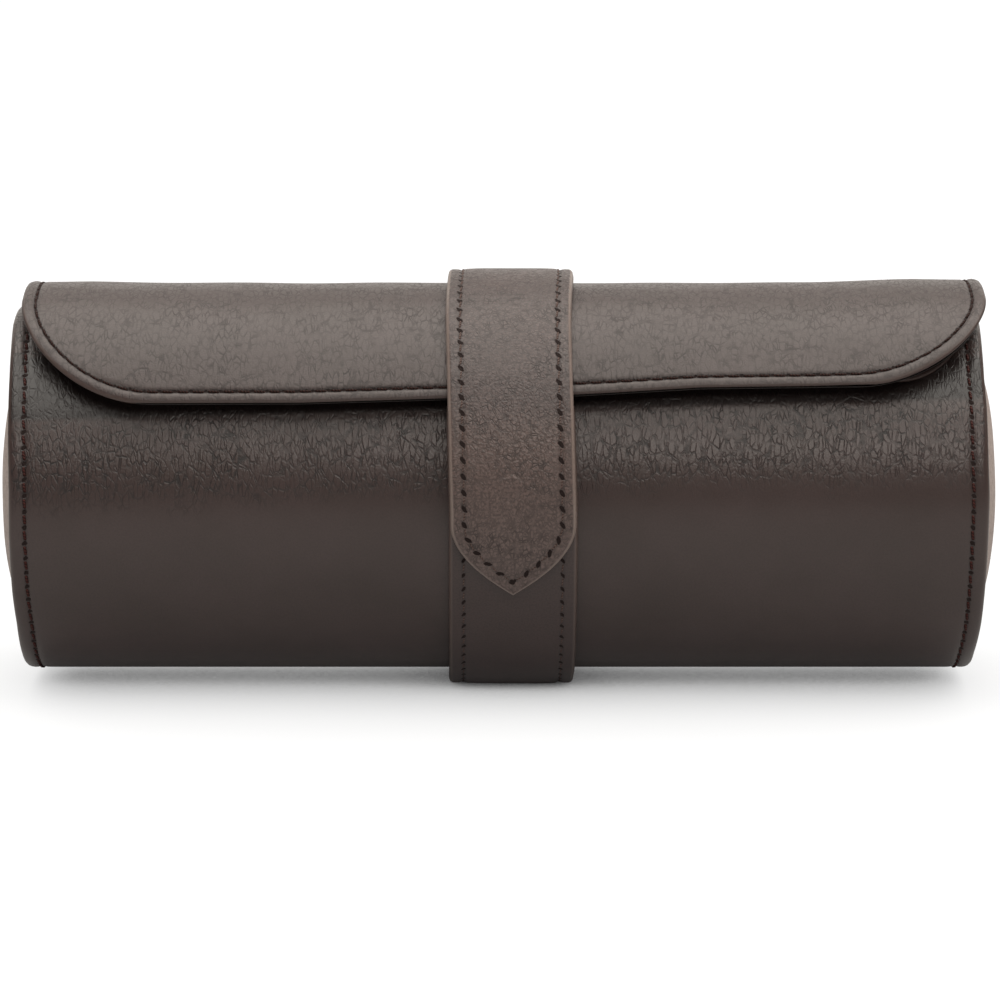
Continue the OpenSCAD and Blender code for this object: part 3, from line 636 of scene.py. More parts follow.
for side, word in ((-1, "Left"), (1, "Right")):
    seamAngle = np.linspace(0, 2 * math.pi, 721) + math.radians(tube["start"])
    line = np.stack([seamAngle * barrelR, np.full(721, side * (rimX - tube["seamIn"]))], -1)
    made = stitches("rimStitches" + word, line, onRim, form=dict(stitchForm, radius=0.3, hole=0.95))
    made.data.materials.append(thread)
    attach(made, "barrel")
print("barrel ready")

# Edging of the window: a strip of thin leather folded over the tube's cut edge and stitched down
edging = {"over": 2.8, "under": 3.6, "thick": 0.45, "bead": 0.75, "seam": 1.5}


# The window's outline at the tube's outside as (x, y) in plan, with its direction outwards
def windowOutline(step):
    r, hx, hy = tube["windowRound"], tube["windowX"], tube["windowY"]
    turn = np.linspace(0, math.pi / 2, 17)
    cx, cy = hx - r, hy - r
    centres = [(cx, cy, 0.0), (-cx, cy, 0.5), (-cx, -cy, 1.0), (cx, -cy, 1.5)]
    points = np.concatenate([np.stack([cx + r * np.cos(turn + k * math.pi), cy + r * np.sin(turn + k * math.pi)], -1)
                             for cx, cy, k in centres])
    return resample(np.concatenate([points, points[:1]]), step)


# Place on the edging at distance d outwards from the window's outline, on the ring of radius r
def onEdging(x, y, nx, ny, d, r):
    start = np.arccos(np.clip(y / r, -1, 1))
    return onBarrel(x + d * nx, r, start - d * ny / barrelR)


outline = windowOutline(1.6)
_, edgeNx, edgeNy = windowEdge(outline[:, 0] * 1.0001, outline[:, 1] * 1.0001)
over, under, bead, raised = edging["over"], edging["under"], -edging["bead"], barrelR + edging["thick"]
section = np.array([(over, barrelR + 0.02), (over, raised - 0.09), (over - 0.3, raised), (over - 0.7, raised + 0.02),
                    (over - 1.0, raised - 0.12), (over - 1.3, raised - 0.2), (over - 1.6, raised - 0.12),
                    (over - 2.0, raised + 0.04), (0.3, raised), (-0.35, barrelR + 0.1), (bead, 39.6), (bead, 38.0),
                    (-0.5, 36.9), (0.0, 36.35), (1.0, 36.2), (under, 36.25), (under, boreR - 0.02),
                    (0.6, boreR + 0.1), (0.2, 38.0), (0.2, 39.6), (0.6, barrelR - 0.1)])
n, m = len(outline) - 1, len(section)
grid = onEdging(outline[:-1, None, 0], outline[:-1, None, 1], edgeNx[:-1, None], edgeNy[:-1, None],
                section[None, :, 0], section[None, :, 1])
wrapped = np.concatenate([grid, grid[:1]])
wrapped = np.concatenate([wrapped, wrapped[:, :1]], 1)
index = np.arange((n + 1) * (m + 1)).reshape(n + 1, m + 1)
index[-1, :], index[:, -1] = index[0, :], index[:, 0]
index[-1, -1] = index[0, 0]
girth = lengthAlong(np.concatenate([section, section[:1]]))
run = lengthAlong(outline)
edgingStitches = int(round(run[-1] / stitchForm["pitch"]))
runU, girthU = np.meshgrid(run, girth, indexing="ij")
seamD = np.where(girthU < 7, girthU - girth[5], 5.0)
windowEdging = makeMesh("windowEdging", wrapped, gridFaces(n + 1, m + 1),
                        {"skin": np.stack([runU, girthU], -1),
                         "seam": np.stack([runU / run[-1] * edgingStitches, seamD], -1)}, index.ravel())
windowEdging.data.materials.append(trimLeather)
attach(windowEdging, "barrel")


def edgingPlace(along, d, h):
    x, y = np.interp(along, run, outline[:, 0]), np.interp(along, run, outline[:, 1])
    nx, ny = np.interp(along, run, edgeNx), np.interp(along, run, edgeNy)
    return onEdging(x, y, nx, ny, d, barrelR + edging["thick"] - 0.2 + h)


line = np.stack([np.linspace(0, run[-1], 1200), np.full(1200, edging["seam"])], -1)
made = stitches("edgingStitches", line, edgingPlace, form=dict(stitchForm, arch=0.1, radius=0.26))
made.data.materials.append(thread)
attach(made, "barrel")
print("window edging ready")

# Flap: leather skin from the back seam to the front edge, its facing and its lining
flapForm = {"left": -104.4, "right": 106.6, "backLeft": -104.0, "backRight": 104.0, "corner": 30.0, "inset": 3.0,
            "overlap": 1.15, "backAngle": -26.0, "front": 146.0, "thick": 1.2, "fullThick": 2.75, "lipThick": 1.25,
            "groove": 0.34, "facing": 0.6, "facingWidth": 12.0, "hingeAngle": 30.0, "pitch": 3.3}
hemSteps = np.array([0, 0.25, 0.6, 1.1, 1.6, 2.1, 2.5, 3.0, 3.5, 4.0, 5.0])  # rows close together at a sewn edge
angles = np.radians(np.linspace(flapForm["backAngle"], 150, 1200))
skinR = softMax(np.full_like(angles, barrelR + flapForm["overlap"]), offCentre(flapR, angles), 0.5)
flapPath = pathOf(barrelAxis[0] + skinR * np.cos(angles), barrelAxis[1] + skinR * np.sin(angles))
aboutFlap = np.degrees(np.unwrap(np.arctan2(flapPath["z"] - flapAxis[1], flapPath["y"] - flapAxis[0])))
flapEnd = float(np.interp(flapForm["front"], aboutFlap, flapPath["s"]))
flapHinge = float(np.interp(flapForm["hingeAngle"], aboutFlap, flapPath["s"]))
roundFrom = flapEnd - flapForm["corner"]


# Left and right limits of the flap's pattern at arc length s, with round front corners
def flapLimits(s):
    t = ramp(flapHinge - 12, flapHinge + 12, s)
    left = flapForm["backLeft"] + t * (flapForm["left"] - flapForm["backLeft"])
    right = flapForm["backRight"] + t * (flapForm["right"] - flapForm["backRight"])
    into = np.clip(s - roundFrom, 0, flapForm["corner"])
    cut = flapForm["corner"] - np.sqrt(flapForm["corner"] ** 2 - into ** 2)
    return left + cut, right - cut


# The front edge of the sewn flap isn't quite straight: it hangs lower on the left than on the right
def flapSkew(x, s):
    low = np.interp(x, [-105, -75, -42.8, -12.7, 17.4, 24, 43.2, 75.4, 106],
                    [2.2, 2.6, 2.5, 1.5, 0.5, 0.1, -1.2, -1.7, -1.6])
    return low * ramp(flapEnd - 42, flapEnd - 2, s)


# The flap stands off the barrel a little at both ends, more on the right
def flapLift(x, s):
    return (0.85 * ramp(66, 92, x) + 0.35 * ramp(-78, -98, x)) * ramp(flapHinge, flapHinge + 25, s)


# Thickness of the flap's leather and board: thin at the sewn lip, full from where the board starts
def flapThick(s, edgeIn):
    full, lipThick = flapForm["fullThick"], flapForm["lipThick"]
    body = np.interp(s, [0, flapHinge + 6, flapHinge + 20], [flapForm["overlap"], flapForm["thick"], full])
    return np.minimum(body, np.interp(edgeIn, [0, 2.6, 4.2], [lipThick, lipThick, full]))


frontRows = roundFrom + flapForm["corner"] * np.sin(np.linspace(0, math.pi / 2, 44))
rows = np.concatenate([graded(0, roundFrom, hemSteps, 1.5)[:-10], frontRows, flapEnd - np.append(hemSteps, 6.0)])
rows = np.unique(np.round(rows, 4))
rows = rows[np.concatenate([[True], np.diff(rows) > 0.12])]
left, right = flapLimits(rows)
fullWide = flapForm["right"] - flapForm["left"]
steps = graded(0, 1, hemSteps / fullWide, 1.5 / fullWide)
flapX = left[:, None] + (right - left)[:, None] * steps[None, :]
flapS = np.broadcast_to(rows[:, None], flapX.shape)
curve = roundFrom + flapForm["corner"] * np.sin(np.linspace(0, math.pi / 2, 80))
down = np.concatenate([np.linspace(0, roundFrom, 60), curve[1:]])
leftLine, rightLine = (np.stack([limit, down], -1) for limit in flapLimits(down))
flapOutline = np.concatenate([rightLine, leftLine[::-1]])
flapSeam, flapIn, flapMaps = seamMaps(flapX, flapS, flapOutline, flapForm["inset"], flapForm["pitch"])
edgeIn = np.minimum(flapIn, flapS)
lip = roundedOver(edgeIn, 1.1)
dip = sum(np.exp(-((inside - flapForm["inset"]) / 0.55) ** 2) for inside in (flapIn, flapS))
bodyThick = flapThick(flapS, edgeIn)
lift = flapLift(flapX, flapS) + 0.18 * ramp(3.5, 16, edgeIn) * ramp(flapHinge, flapHinge + 20, flapS)
wave = 0.35 * unevenness(flapX, flapS, 0.7, 31) * ramp(2, 14, edgeIn)
roll = 0.16 * np.exp(-((edgeIn - 1.6) / 0.8) ** 2)
edgeH = flapLift(flapX, flapS) - 0.5 * bodyThick
pressed = flapForm["groove"] * dip * ramp(0.8, 2.0, edgeIn)
outerH = lift - 0.5 * bodyThick * (1 - lip) - pressed + wave + (roll - 0.1) * lip
innerH = edgeH - 0.5 * bodyThick * lip
outerH = np.where(edgeIn < 1e-6, edgeH, outerH)
innerH = np.where(edgeIn < 1e-6, edgeH, innerH)
place = flapS + flapSkew(flapX, flapS)
flapSkin = closedSheet("flapSkin", onPath(flapPath, place, flapX, outerH), onPath(flapPath, place, flapX, innerH),
                       flapMaps)
flapSkin.data.materials.append(flapLeather)


# Bakes a piece of the flap's placement into its points; nothing is bent over the hinge line
def foldAtHinge(piece):
    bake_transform(piece)


foldAtHinge(flapSkin)
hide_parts("flap_leather")


# Height of the flap's outside over its path at the seam lines
def flapStitchPlace(x, s, h):
    return onPath(flapPath, s + flapSkew(x, s), x, h - flapForm["groove"] - 0.1 + flapLift(x, s))


flapStitches = stitches("flapStitches", flapSeam, flapStitchPlace,
                        form=dict(stitchForm, pitch=flapForm["pitch"], radius=0.3, hole=0.1, slant=0.06, arch=0.1))
flapStitches.data.materials.append(darkThread)
foldAtHinge(flapStitches)
backLine = np.stack([np.linspace(-100.5, 100.5, 400), np.full(400, flapForm["inset"])], -1)
backStitches = stitches("backSeamStitches", backLine, flapStitchPlace,
                        keep=lambda x, s: np.abs(x - strapX) > strapHalf)
backStitches.data.materials.append(thread)
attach(backStitches, "barrel")

# Facing under the flap's edge: a strip of thin leather, laid in a little from the edge all round, near-black as
# painted shade for the gap under the lip. It lies on the board, and follows the lifted edge only at its rim.
line = resample(flapOutline, 1.5)
line = line[line[:, 1] > flapHinge + 11]
d = np.gradient(line, axis=0)
d /= np.hypot(d[:, 0], d[:, 1])[:, None]
facingSteps = np.array([0, 0.012, 0.035, 0.07, 0.12, 0.2, 0.34, 0.5, 0.67, 0.83, 0.93, 0.98, 1])
inwards = 0.35 + flapForm["facingWidth"] * facingSteps
facingX = line[:, None, 0] - inwards[None, :] * d[:, None, 1]
facingS = line[:, None, 1] + inwards[None, :] * d[:, None, 0]
near = np.minimum(inwards - inwards[0], inwards[-1] - inwards)[None, :] + np.zeros((len(line), 1))
near[[0, -1]] = 0
lip = roundedOver(near, 0.45)
depths = np.broadcast_to(inwards, facingS.shape) + np.maximum(-flapSkew(facingX, facingS), 0)
upper = 0.04 - flapThick(facingS, depths) + flapLift(facingX, facingS) * (1 - ramp(0.6, 2.4, depths))
place = facingS + flapSkew(facingX, facingS)
flapFacing = closedSheet("flapFacing", onPath(flapPath, place, facingX, upper),
                         onPath(flapPath, place, facingX, upper - flapForm["facing"] * lip),
                         {"skin": np.stack([facingX, facingS], -1)})
flapFacing.data.materials.append(facingLeather)
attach(flapFacing, "flap")

# Lining of the flap: suede, from under the hinge to under the facing
cover = flapForm["facingWidth"] - 2.0
rows = graded(20.0, flapEnd - cover, [0, 0.2, 0.5, 1.0, 2.0], 2.0)
inner = flapForm["corner"] - cover
into = np.clip(rows - roundFrom, 0, inner)
shrink = inner - np.sqrt(inner ** 2 - into ** 2)
left, right = flapLimits(np.minimum(rows, roundFrom))
aside = np.interp(rows, [flapHinge + 14, flapHinge + 24], [1.2, cover])
left, right = left + aside + shrink, right - aside - shrink
steps = graded(0, 1, np.array([0, 0.2, 0.5, 1.0, 2.0]) / 208, 2.5 / 208)
liningX = left[:, None] + (right - left)[:, None] * steps[None, :]
liningS = np.broadcast_to(rows[:, None], liningX.shape)
near = np.minimum.reduce([liningX - left[:, None], right[:, None] - liningX, liningS - rows[0], rows[-1] - liningS])
lip = roundedOver(near, 0.5)
upper = 0.1 - flapThick(liningS, 99.0)
lower = upper - (0.5 * lip + 0.1) + 0.05 * unevenness(liningX, liningS, 2.0, 18)
lower = np.where(near < 1e-6, upper, lower)
place = liningS + flapSkew(liningX, liningS)
flapLiningPiece = closedSheet("flapLiningSuede", onPath(flapPath, place, liningX, upper),
                              onPath(flapPath, place, liningX, lower),
                              {"skin": np.stack([liningX, liningS], -1)})
flapLiningPiece.data.materials.append(liningSuede)
foldAtHinge(flapLiningPiece)
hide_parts("flap_lining")
print("flap ready")

# Strap: fixed part, part on the flap, and the free tongue. Angles in degrees.
strapForm = {"thick": 3.3, "edgeThick": 3.1, "half": 13.85, "inset": 3.2, "pitch": 3.5, "groove": 0.28,
             "tongueThick": 2.4, "tongueInset": 3.0, "startAngle": 146.4, "split": 292.0, "tongueFrom": 74.0,
             "overEdge": 146.2, "tip": 205.2, "point": 17.0, "rest": 0.5, "tongueTurn": 34.0}

# Outside of the strap: fixed part about the barrel, flat where the case stands on it, then a rise at the
# back over the seam onto the flap's circle
angles = np.radians(np.linspace(strapForm["startAngle"], 360 + 150, 2400))
overBarrel, overFlap = barrelR + strapForm["thick"], flapR + strapForm["thick"]
overBack = softMax(np.full_like(angles, overBarrel), offCentre(overFlap, angles), 0.6)
onSeam = overBarrel + 1.0 * ramp(math.radians(360 - 34), math.radians(360 - 22), angles)
strapR = np.where(angles > math.radians(300), np.maximum(overBack, onSeam), overBarrel)
sag = ramp(math.radians(222), math.radians(252), angles) * ramp(math.radians(318), math.radians(288), angles)
strapR = strapR + strapForm["rest"] * sag
y, z = barrelAxis[0] + strapR * np.cos(angles), barrelAxis[1] + strapR * np.sin(angles)
z = np.where(z < 0.45, 0.45 * (1 - np.exp(-(z + 0.5) / 0.6)) * (z > -0.5), z)
strapPath = pathOf(y, np.maximum(z, 0))
strapAngles = np.degrees(angles)


def strapAt(degreesRound):
    return float(np.interp(degreesRound, strapAngles, strapPath["s"]))


# Outside of the tongue: one circle about the flap's centre, from on the flap to the tip
angles = np.radians(np.linspace(60, 210, 1200))
tonguePath = pathOf(flapAxis[0] + overFlap * np.cos(angles), flapAxis[1] + overFlap * np.sin(angles))


def tongueAt(degreesRound):
    return float(np.interp(math.radians(degreesRound), angles, tonguePath["s"]))


# Middle of the strap at arc length s round the front: it was sewn on a little askew
def strapMiddle(path, s):
    z = np.interp(s, path["s"], path["z"])
    y = np.interp(s, path["s"], path["y"])
    front = ramp(0, -30, y)
    return strapX + front * np.interp(z, [0, 20, 45, 72, 90], [0.25, 0.4, 0.5, -0.2, -0.7])


# Columns of a strap piece from its left edge to its right, close together at the edges and seam lines
stripIn = np.array([0, 0.2, 0.5, 0.95, 1.4, 1.9, 2.3, 2.65, 3.0, 3.35, 3.7, 4.2, 4.9, 5.8, 7.0, 8.6, 10.6,
                    strapHalf]) / strapHalf
across = np.concatenate([-1 + stripIn, (1 - stripIn)[::-1][1:]])


# Piece of the strap from pattern points: thicker in its middle over the filler, with rounded edges and a pressed
# seam line. dist is the distance to the nearest sewn edge, near to any edge, thick the full thickness.
def strapSheet(name, path, x, s, dist, near, thick, maps, seed, finish=strapLeather):
    lip = roundedOver(near, 1.0)
    drop = (1 - ramp(1.0, 7.5, dist)) * np.clip(thick - strapForm["edgeThick"], 0, 1)
    dip = np.exp(-(maps["seam"][..., 1] / 0.55) ** 2) * strapForm["groove"]
    wave = 0.16 * unevenness(x, s, seed, 24) * ramp(1, 6, dist)
    middle = -thick / 2 - drop / 2
    outer = middle + (thick / 2 - drop / 2) * lip - dip * ramp(0.8, 2, near) + wave * ramp(0, 3, near) - 0.05 * lip
    inner = middle - (thick / 2 - drop / 2) * lip
    atEdge = near < 1e-6
    outer, inner = np.where(atEdge, middle, outer), np.where(atEdge, middle, inner)
    centre = strapMiddle(path, s)
    made = closedSheet(name, onPath(path, s, x + centre, outer), onPath(path, s, x + centre, inner), maps)
    made.data.materials.append(finish)
    return made


# Stitches of a strap piece, lying in its seam line on the path given
def strapStitches(name, path, seam, thick):
    def place(x, s, h):
        edge = strapForm["groove"] + 0.82 * np.clip(thick - strapForm["edgeThick"], 0, 1)
        return onPath(path, s, x + strapMiddle(path, s), h - edge - 0.16)
    made = stitches(name, seam, place, form=dict(stitchForm, hole=1.0, radius=0.22, arch=0.05))
    made.data.materials.append(strapThread)
    return made


# Straight strap between two arc lengths, sewn along both sides
def straightStrap(word, path, first, last, seed):
    rows = np.concatenate([[first], np.linspace(first, last, int((last - first) / 1.5)), [last]])
    half = strapForm["half"]
    x, s = half * np.broadcast_to(across[None, :], (len(rows), len(across))), rows[:, None] + 0 * across[None, :]
    count = round((last - first) / strapForm["pitch"])
    dist = half - np.abs(x)
    near = dist.copy()
    near[[0, -1]] = 0
    maps = {"skin": np.stack([x, s], -1),
            "seam": np.stack([(s - first) / (last - first) * count, dist - strapForm["inset"]], -1)}
    thick = np.full_like(x, strapForm["thick"])
    piece = strapSheet("strap" + word, path, x, s, dist, near, thick, maps, seed)
    sewn = []
    for side, name in ((-1, "Left"), (1, "Right")):
        beside = side * (half - strapForm["inset"])
        line = np.array([(beside, first), (beside, last)])
        sewn.append(strapStitches("strapStitches" + word + name, path, resample(line, 0.5), strapForm["thick"]))
    return piece, sewn


splitAt = strapAt(strapForm["split"])
frontStrap, frontSewn = straightStrap("Front", strapPath, strapAt(strapForm["startAngle"]), splitAt, 0.4)
for piece in [frontStrap] + frontSewn:
    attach(piece, "barrel")
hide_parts("strap_leather", "strap_filler", "strap_lining")

topFrom = tongueAt(strapForm["tongueFrom"])
tongueY = np.interp(topFrom, tonguePath["s"], tonguePath["y"])
tongueZ = np.interp(topFrom, tonguePath["s"], tonguePath["z"])
backEnd = float(np.interp(math.degrees(math.atan2(tongueZ - barrelAxis[1], tongueY - barrelAxis[0])) + 360,
                          strapAngles, strapPath["s"]))
backStrap, backSewn = straightStrap("Back", strapPath, splitAt, backEnd, 1.9)
for piece in [backStrap] + backSewn:
    foldAtHinge(piece)
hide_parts("flap_strap_leather", "flap_strap_filler", "flap_strap_lining")

# Tongue: from the flap over its edge down to a point. Half its width is w (1 - t^1.9)^1.05, from t = 0
# where the point starts to 1 at the tip
pointFrom, overEdge = tongueAt(strapForm["tip"]) - strapForm["point"], tongueAt(strapForm["overEdge"])
t = np.linspace(0, 1, 400)
halfAt = strapHalf * np.clip(1 - t ** 1.9, 0, 1) ** 1.05
pointAt = pointFrom + t * strapForm["point"]
side = np.stack([np.append(strapHalf, halfAt), np.append(topFrom - 20, pointAt)], -1)
tongueOutline = np.concatenate([side, (side * [-1, 1])[::-1][1:]])
straight = np.append(topFrom, np.linspace(topFrom, pointFrom, int((pointFrom - topFrom) / 1.2))[:-1])
pointed = pointFrom + strapForm["point"] * np.sin(np.linspace(0, math.pi / 2, 34)) ** 1.15
rows = np.concatenate([straight, pointed])
half = np.interp(rows, pointAt, halfAt)
half[-1] = 0.05  # the tip is blunt by 0.1 mm
x, s = half[:, None] * across[None, :], rows[:, None] + 0 * across[None, :]
tongueSeam, dist, maps = seamMaps(x, s, tongueOutline, strapForm["tongueInset"], strapForm["pitch"])
tongueSeam = tongueSeam[tongueSeam[:, 1] > topFrom]
edgeRow = np.zeros_like(x, bool)
edgeRow[:, [0, -1]] = True
edgeRow[-1, :] = True
dist = np.where(edgeRow, 0, dist)
near = dist.copy()
near[0] = 0
thick = np.interp(s, [overEdge - 7, overEdge + 5], [strapForm["thick"], strapForm["tongueThick"]])
studY, studZ = -44.2, axisZ + 7.24  # the press stud under the tongue
studAt = tongueAt(math.degrees(math.atan2(studZ - flapAxis[1], studY - flapAxis[0])))
press = np.hypot(x + 0.5, s - studAt)
maps["press"] = np.stack([press, press], -1)
wider = 1 + 0.03 * ramp(overEdge, topFrom + 10, s)
tongueLook = dict(strapLook, ring=3.15, cell=1.0, line=0.2, fine=1.7, grit=1.0, speck=0.5, relief=0.14, creaseShade=0.75,
                  face="#574441", deep="#4c3c39", edge="#8a7972", paler="#6d5a55",
                  handled=(tongueAt(148), tongueAt(164)))
tongueLeather = leather("handledCalfTongue", tongueLook)
tonguePiece = strapSheet("tongueLeatherPiece", tonguePath, x * wider, s, dist, near, thick, maps, 3.1, tongueLeather)
tongueSewn = strapStitches("tongueStitches", tonguePath, tongueSeam, strapForm["tongueThick"] + 0.15)
for piece in (tonguePiece, tongueSewn):
    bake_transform(piece)
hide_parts("tongue_leather", "tongue_lining")
print("strap ready")

# Padded ends: a crown of the height given, gathered into small puckers at its rim
endForm = {"radius": 36.55, "board": 102.0, "height": 7.75, "fullness": 3.2, "puckers": 38, "pucker": 0.16}


# Surface of revolution about the barrel's axis with poles at both ends, from (place x, radius) points
def turned(name, profile, turns, shift=None):
    a = np.arange(turns + 1) * 2 * math.pi / turns
    x, r = (np.broadcast_to(profile[:, None, k], (len(profile), turns + 1)) for k in (0, 1))
    if shift is not None:
        x = x + shift(r, a[None, :])
    points = onBarrel(x, r, a[None, :])
    merge = np.arange(points[..., 0].size).reshape(x.shape)
    merge[:, -1] = merge[:, 0]
    for row in np.flatnonzero(profile[:, 1] < 1e-9):
        merge[row] = merge[row, 0]
    maps = {"skin": points[..., 1:3].reshape(-1, 2)}
    return makeMesh(name, points, gridFaces(*x.shape), maps, merge.ravel())


for side, word, cad in ((-1, "Left", "left"), (1, "Right", "right")):
    rho = endForm["radius"] * np.sin(np.linspace(0, math.pi / 2, 46))
    crown = endForm["height"] * (1 - (rho / endForm["radius"]) ** endForm["fullness"])
    under = np.array([(100.4, endForm["radius"]), (100.2, 35.0), (100.2, 18.0), (100.2, 0.0)])
    profile = np.concatenate([np.stack([endForm["board"] + crown, rho], -1), under]) * [side, 1]

    def puckers(r, a, side=side):
        edge = (r / endForm["radius"]) ** 7
        fold = np.sin(endForm["puckers"] * a + 1.7 * np.sin(5 * a + side)) * endForm["pucker"] * edge
        slack = 0.25 * unevenness(r * np.cos(a), r * np.sin(a), side, 30) * (1 - edge)
        return side * (fold * (r < endForm["radius"] - 0.01) + slack)

    pad = turned("endPad" + word, profile, 152, puckers)
    pad.data.materials.append(paleLeather)
    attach(pad, "barrel")
    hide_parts("end_cover_" + cad, "end_padding_" + cad)


# Disc with an optional straight top, facing along X: each row spans the circle at its height. Its two
# faces are soft, fullest in the middle, and its edge is rounded over.
def softDisc(name, place, radius, top, thick, crown):
    if top < radius:
        lower = -radius * np.cos(np.linspace(0, math.pi / 2, 40))
        z = np.concatenate([lower, np.linspace(0, top, 30)[1:]])
    else:
        z = -radius * np.cos(np.linspace(0, math.pi, 80))
    half = np.sqrt(np.clip(radius ** 2 - z ** 2, 0.01, None))
    t = np.sin(np.linspace(-math.pi / 2, math.pi / 2, 60))
    y, zz = half[:, None] * t[None, :], z[:, None] + 0 * t[None, :]
    edge = np.clip(np.minimum(radius - np.hypot(y, zz), top - zz), 0, None)
    edge[:, [0, -1]] = 0
    edge[[0, -1], :] = 0
    lip = roundedOver(edge, thick / 2)
    out = (thick / 2) * lip + crown * ramp(2, radius * 0.6, edge) * (edge > 0)
    points = [np.stack([place + sign * out, y, axisZ + zz], -1) for sign in (1, -1)]
    return closedSheet(name, points[0], points[1], {"skin": np.stack([y, zz], -1)})


# Dividers between the watch spaces, with a straight top, and the soft inner face of each end
discForm = {"radius": 36.5, "top": 26.0, "divider": 33.5, "end": 99.6}
for side, word in ((-1, "left"), (1, "right")):
    divider = softDisc("divider" + word.capitalize(), side * discForm["divider"], discForm["radius"],
                       discForm["top"], 2.6, 0.35)
    divider.data.materials.append(liningSuede)
    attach(divider, "barrel")
    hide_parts("divider_cover_" + word, "divider_board_" + word)
    inner = softDisc("endInside" + word.capitalize(), side * discForm["end"], discForm["radius"],
                     discForm["radius"], 0.8, 0.4)
    inner.data.materials.append(liningSuede)
    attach(inner, "barrel")
    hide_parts("end_lining_" + word)
print("ends and dividers ready")

# Watch cushions: finished size, place of the middle over the axis, and how far the cloth may swell
cushionForm = {"length": 58.0, "width": 50.0, "height": 50.0, "middle": -10.62, "round": 2.75, "start": 1.6,
               "cap": 5.0, "pressure": 4.0, "frames": 20, "apart": 67.0}


# Section of a cushion at turn a, a rounded square: |y/p|^k + |z/q|^k = 1
def roundSquare(a, p, q, k):
    c, s = np.cos(a), np.sin(a)
    r = (np.abs(c / p) ** k + np.abs(s / q) ** k) ** (-1 / k)
    return r * c, r * s


# Section of the cushion, smaller all round by the length given
def cushionSection(turn, shrink):
    p, q = cushionForm["width"] / 2 - shrink, cushionForm["height"] / 2 - shrink
    return roundSquare(turn, p, q, cushionForm["round"])


# Closed cushion about X = 0: the section swells in the middle and draws in at both end seams, and
# each end is a shallow crown
def cushionStart(shrink):
    turn = np.arange(73) * 2 * math.pi / 72
    half = cushionForm["length"] / 2 - shrink
    along = half * np.sin(np.linspace(-math.pi / 2, math.pi / 2, 34))
    size = 1 - 0.07 * np.abs(along / half) ** 4
    y, z = cushionSection(turn, shrink)
    body = np.stack([along[:, None] + 0 * y, size[:, None] * y, size[:, None] * z], -1)
    inner = np.linspace(0.92, 0, 9)
    caps = [np.stack([sign * (half + 1.2 * (1 - inner ** 2))[:, None] + 0 * y, inner[:, None] * size[-1] * y,
                      inner[:, None] * size[-1] * z], -1) for sign in (-1, 1)]
    points = np.concatenate([caps[0][::-1], body, caps[1]])
    merge = np.arange(points[..., 0].size).reshape(points.shape[:2])
    merge[:, -1] = merge[:, 0]
    merge[0], merge[-1] = merge[0, 0], merge[-1, 0]
    points[..., 2] += axisZ + cushionForm["middle"]
    return points, merge


# Swells a sewn cover with Blender's Cloth: pressure from inside, no gravity, seams held. No point moves
# further than the cap.
def swell(obj, seam, cap):
    group = obj.vertex_groups.new(name="seam")
    group.add(np.flatnonzero(seam).tolist(), 1.0, "REPLACE")
    start = np.empty(len(obj.data.vertices) * 3)
    obj.data.vertices.foreach_get("co", start)
    cloth = obj.modifiers.new("cloth", "CLOTH")
    cloth.settings.use_pressure = True
    cloth.settings.uniform_pressure_force = cushionForm["pressure"]
    cloth.settings.effector_weights.gravity = 0.0
    cloth.settings.vertex_group_mass = "seam"
    cloth.settings.quality = 6
    cloth.settings.bending_stiffness = 0.3
    for step in range(1, cushionForm["frames"] + 1):
        bpy.context.scene.frame_set(step)
    seen = obj.evaluated_get(bpy.context.evaluated_depsgraph_get())
    end = np.empty_like(start)
    seen.data.vertices.foreach_get("co", end)
    move = (end - start).reshape(-1, 3)
    size = np.linalg.norm(move, axis=1)
    move *= np.minimum(1, cap * 0.001 / np.maximum(size, 1e-9))[:, None]
    obj.modifiers.remove(cloth)
    obj.vertex_groups.clear()
    obj.data.vertices.foreach_set("co", start + move.ravel())
    obj.data.update()
    bpy.context.scene.frame_set(1)


# Place on a cushion's end seam: u along the ring, v along X towards the middle, h outwards
def onCushionSeam(side, u, v, h):
    turn = np.linspace(0, 2 * math.pi, 721)
    half = cushionForm["length"] / 2 - cushionForm["start"]
    y, z = (0.93 * value for value in cushionSection(turn, cushionForm["start"]))
    run = lengthAlong(np.stack([y, z], -1))
    py, pz = np.interp(u, run, y), np.interp(u, run, z)
    size = np.hypot(py, pz)
    out = 1 + h / size
    return np.stack(np.broadcast_arrays(side * (half - v), py * out, pz * out + axisZ + cushionForm["middle"]), -1)


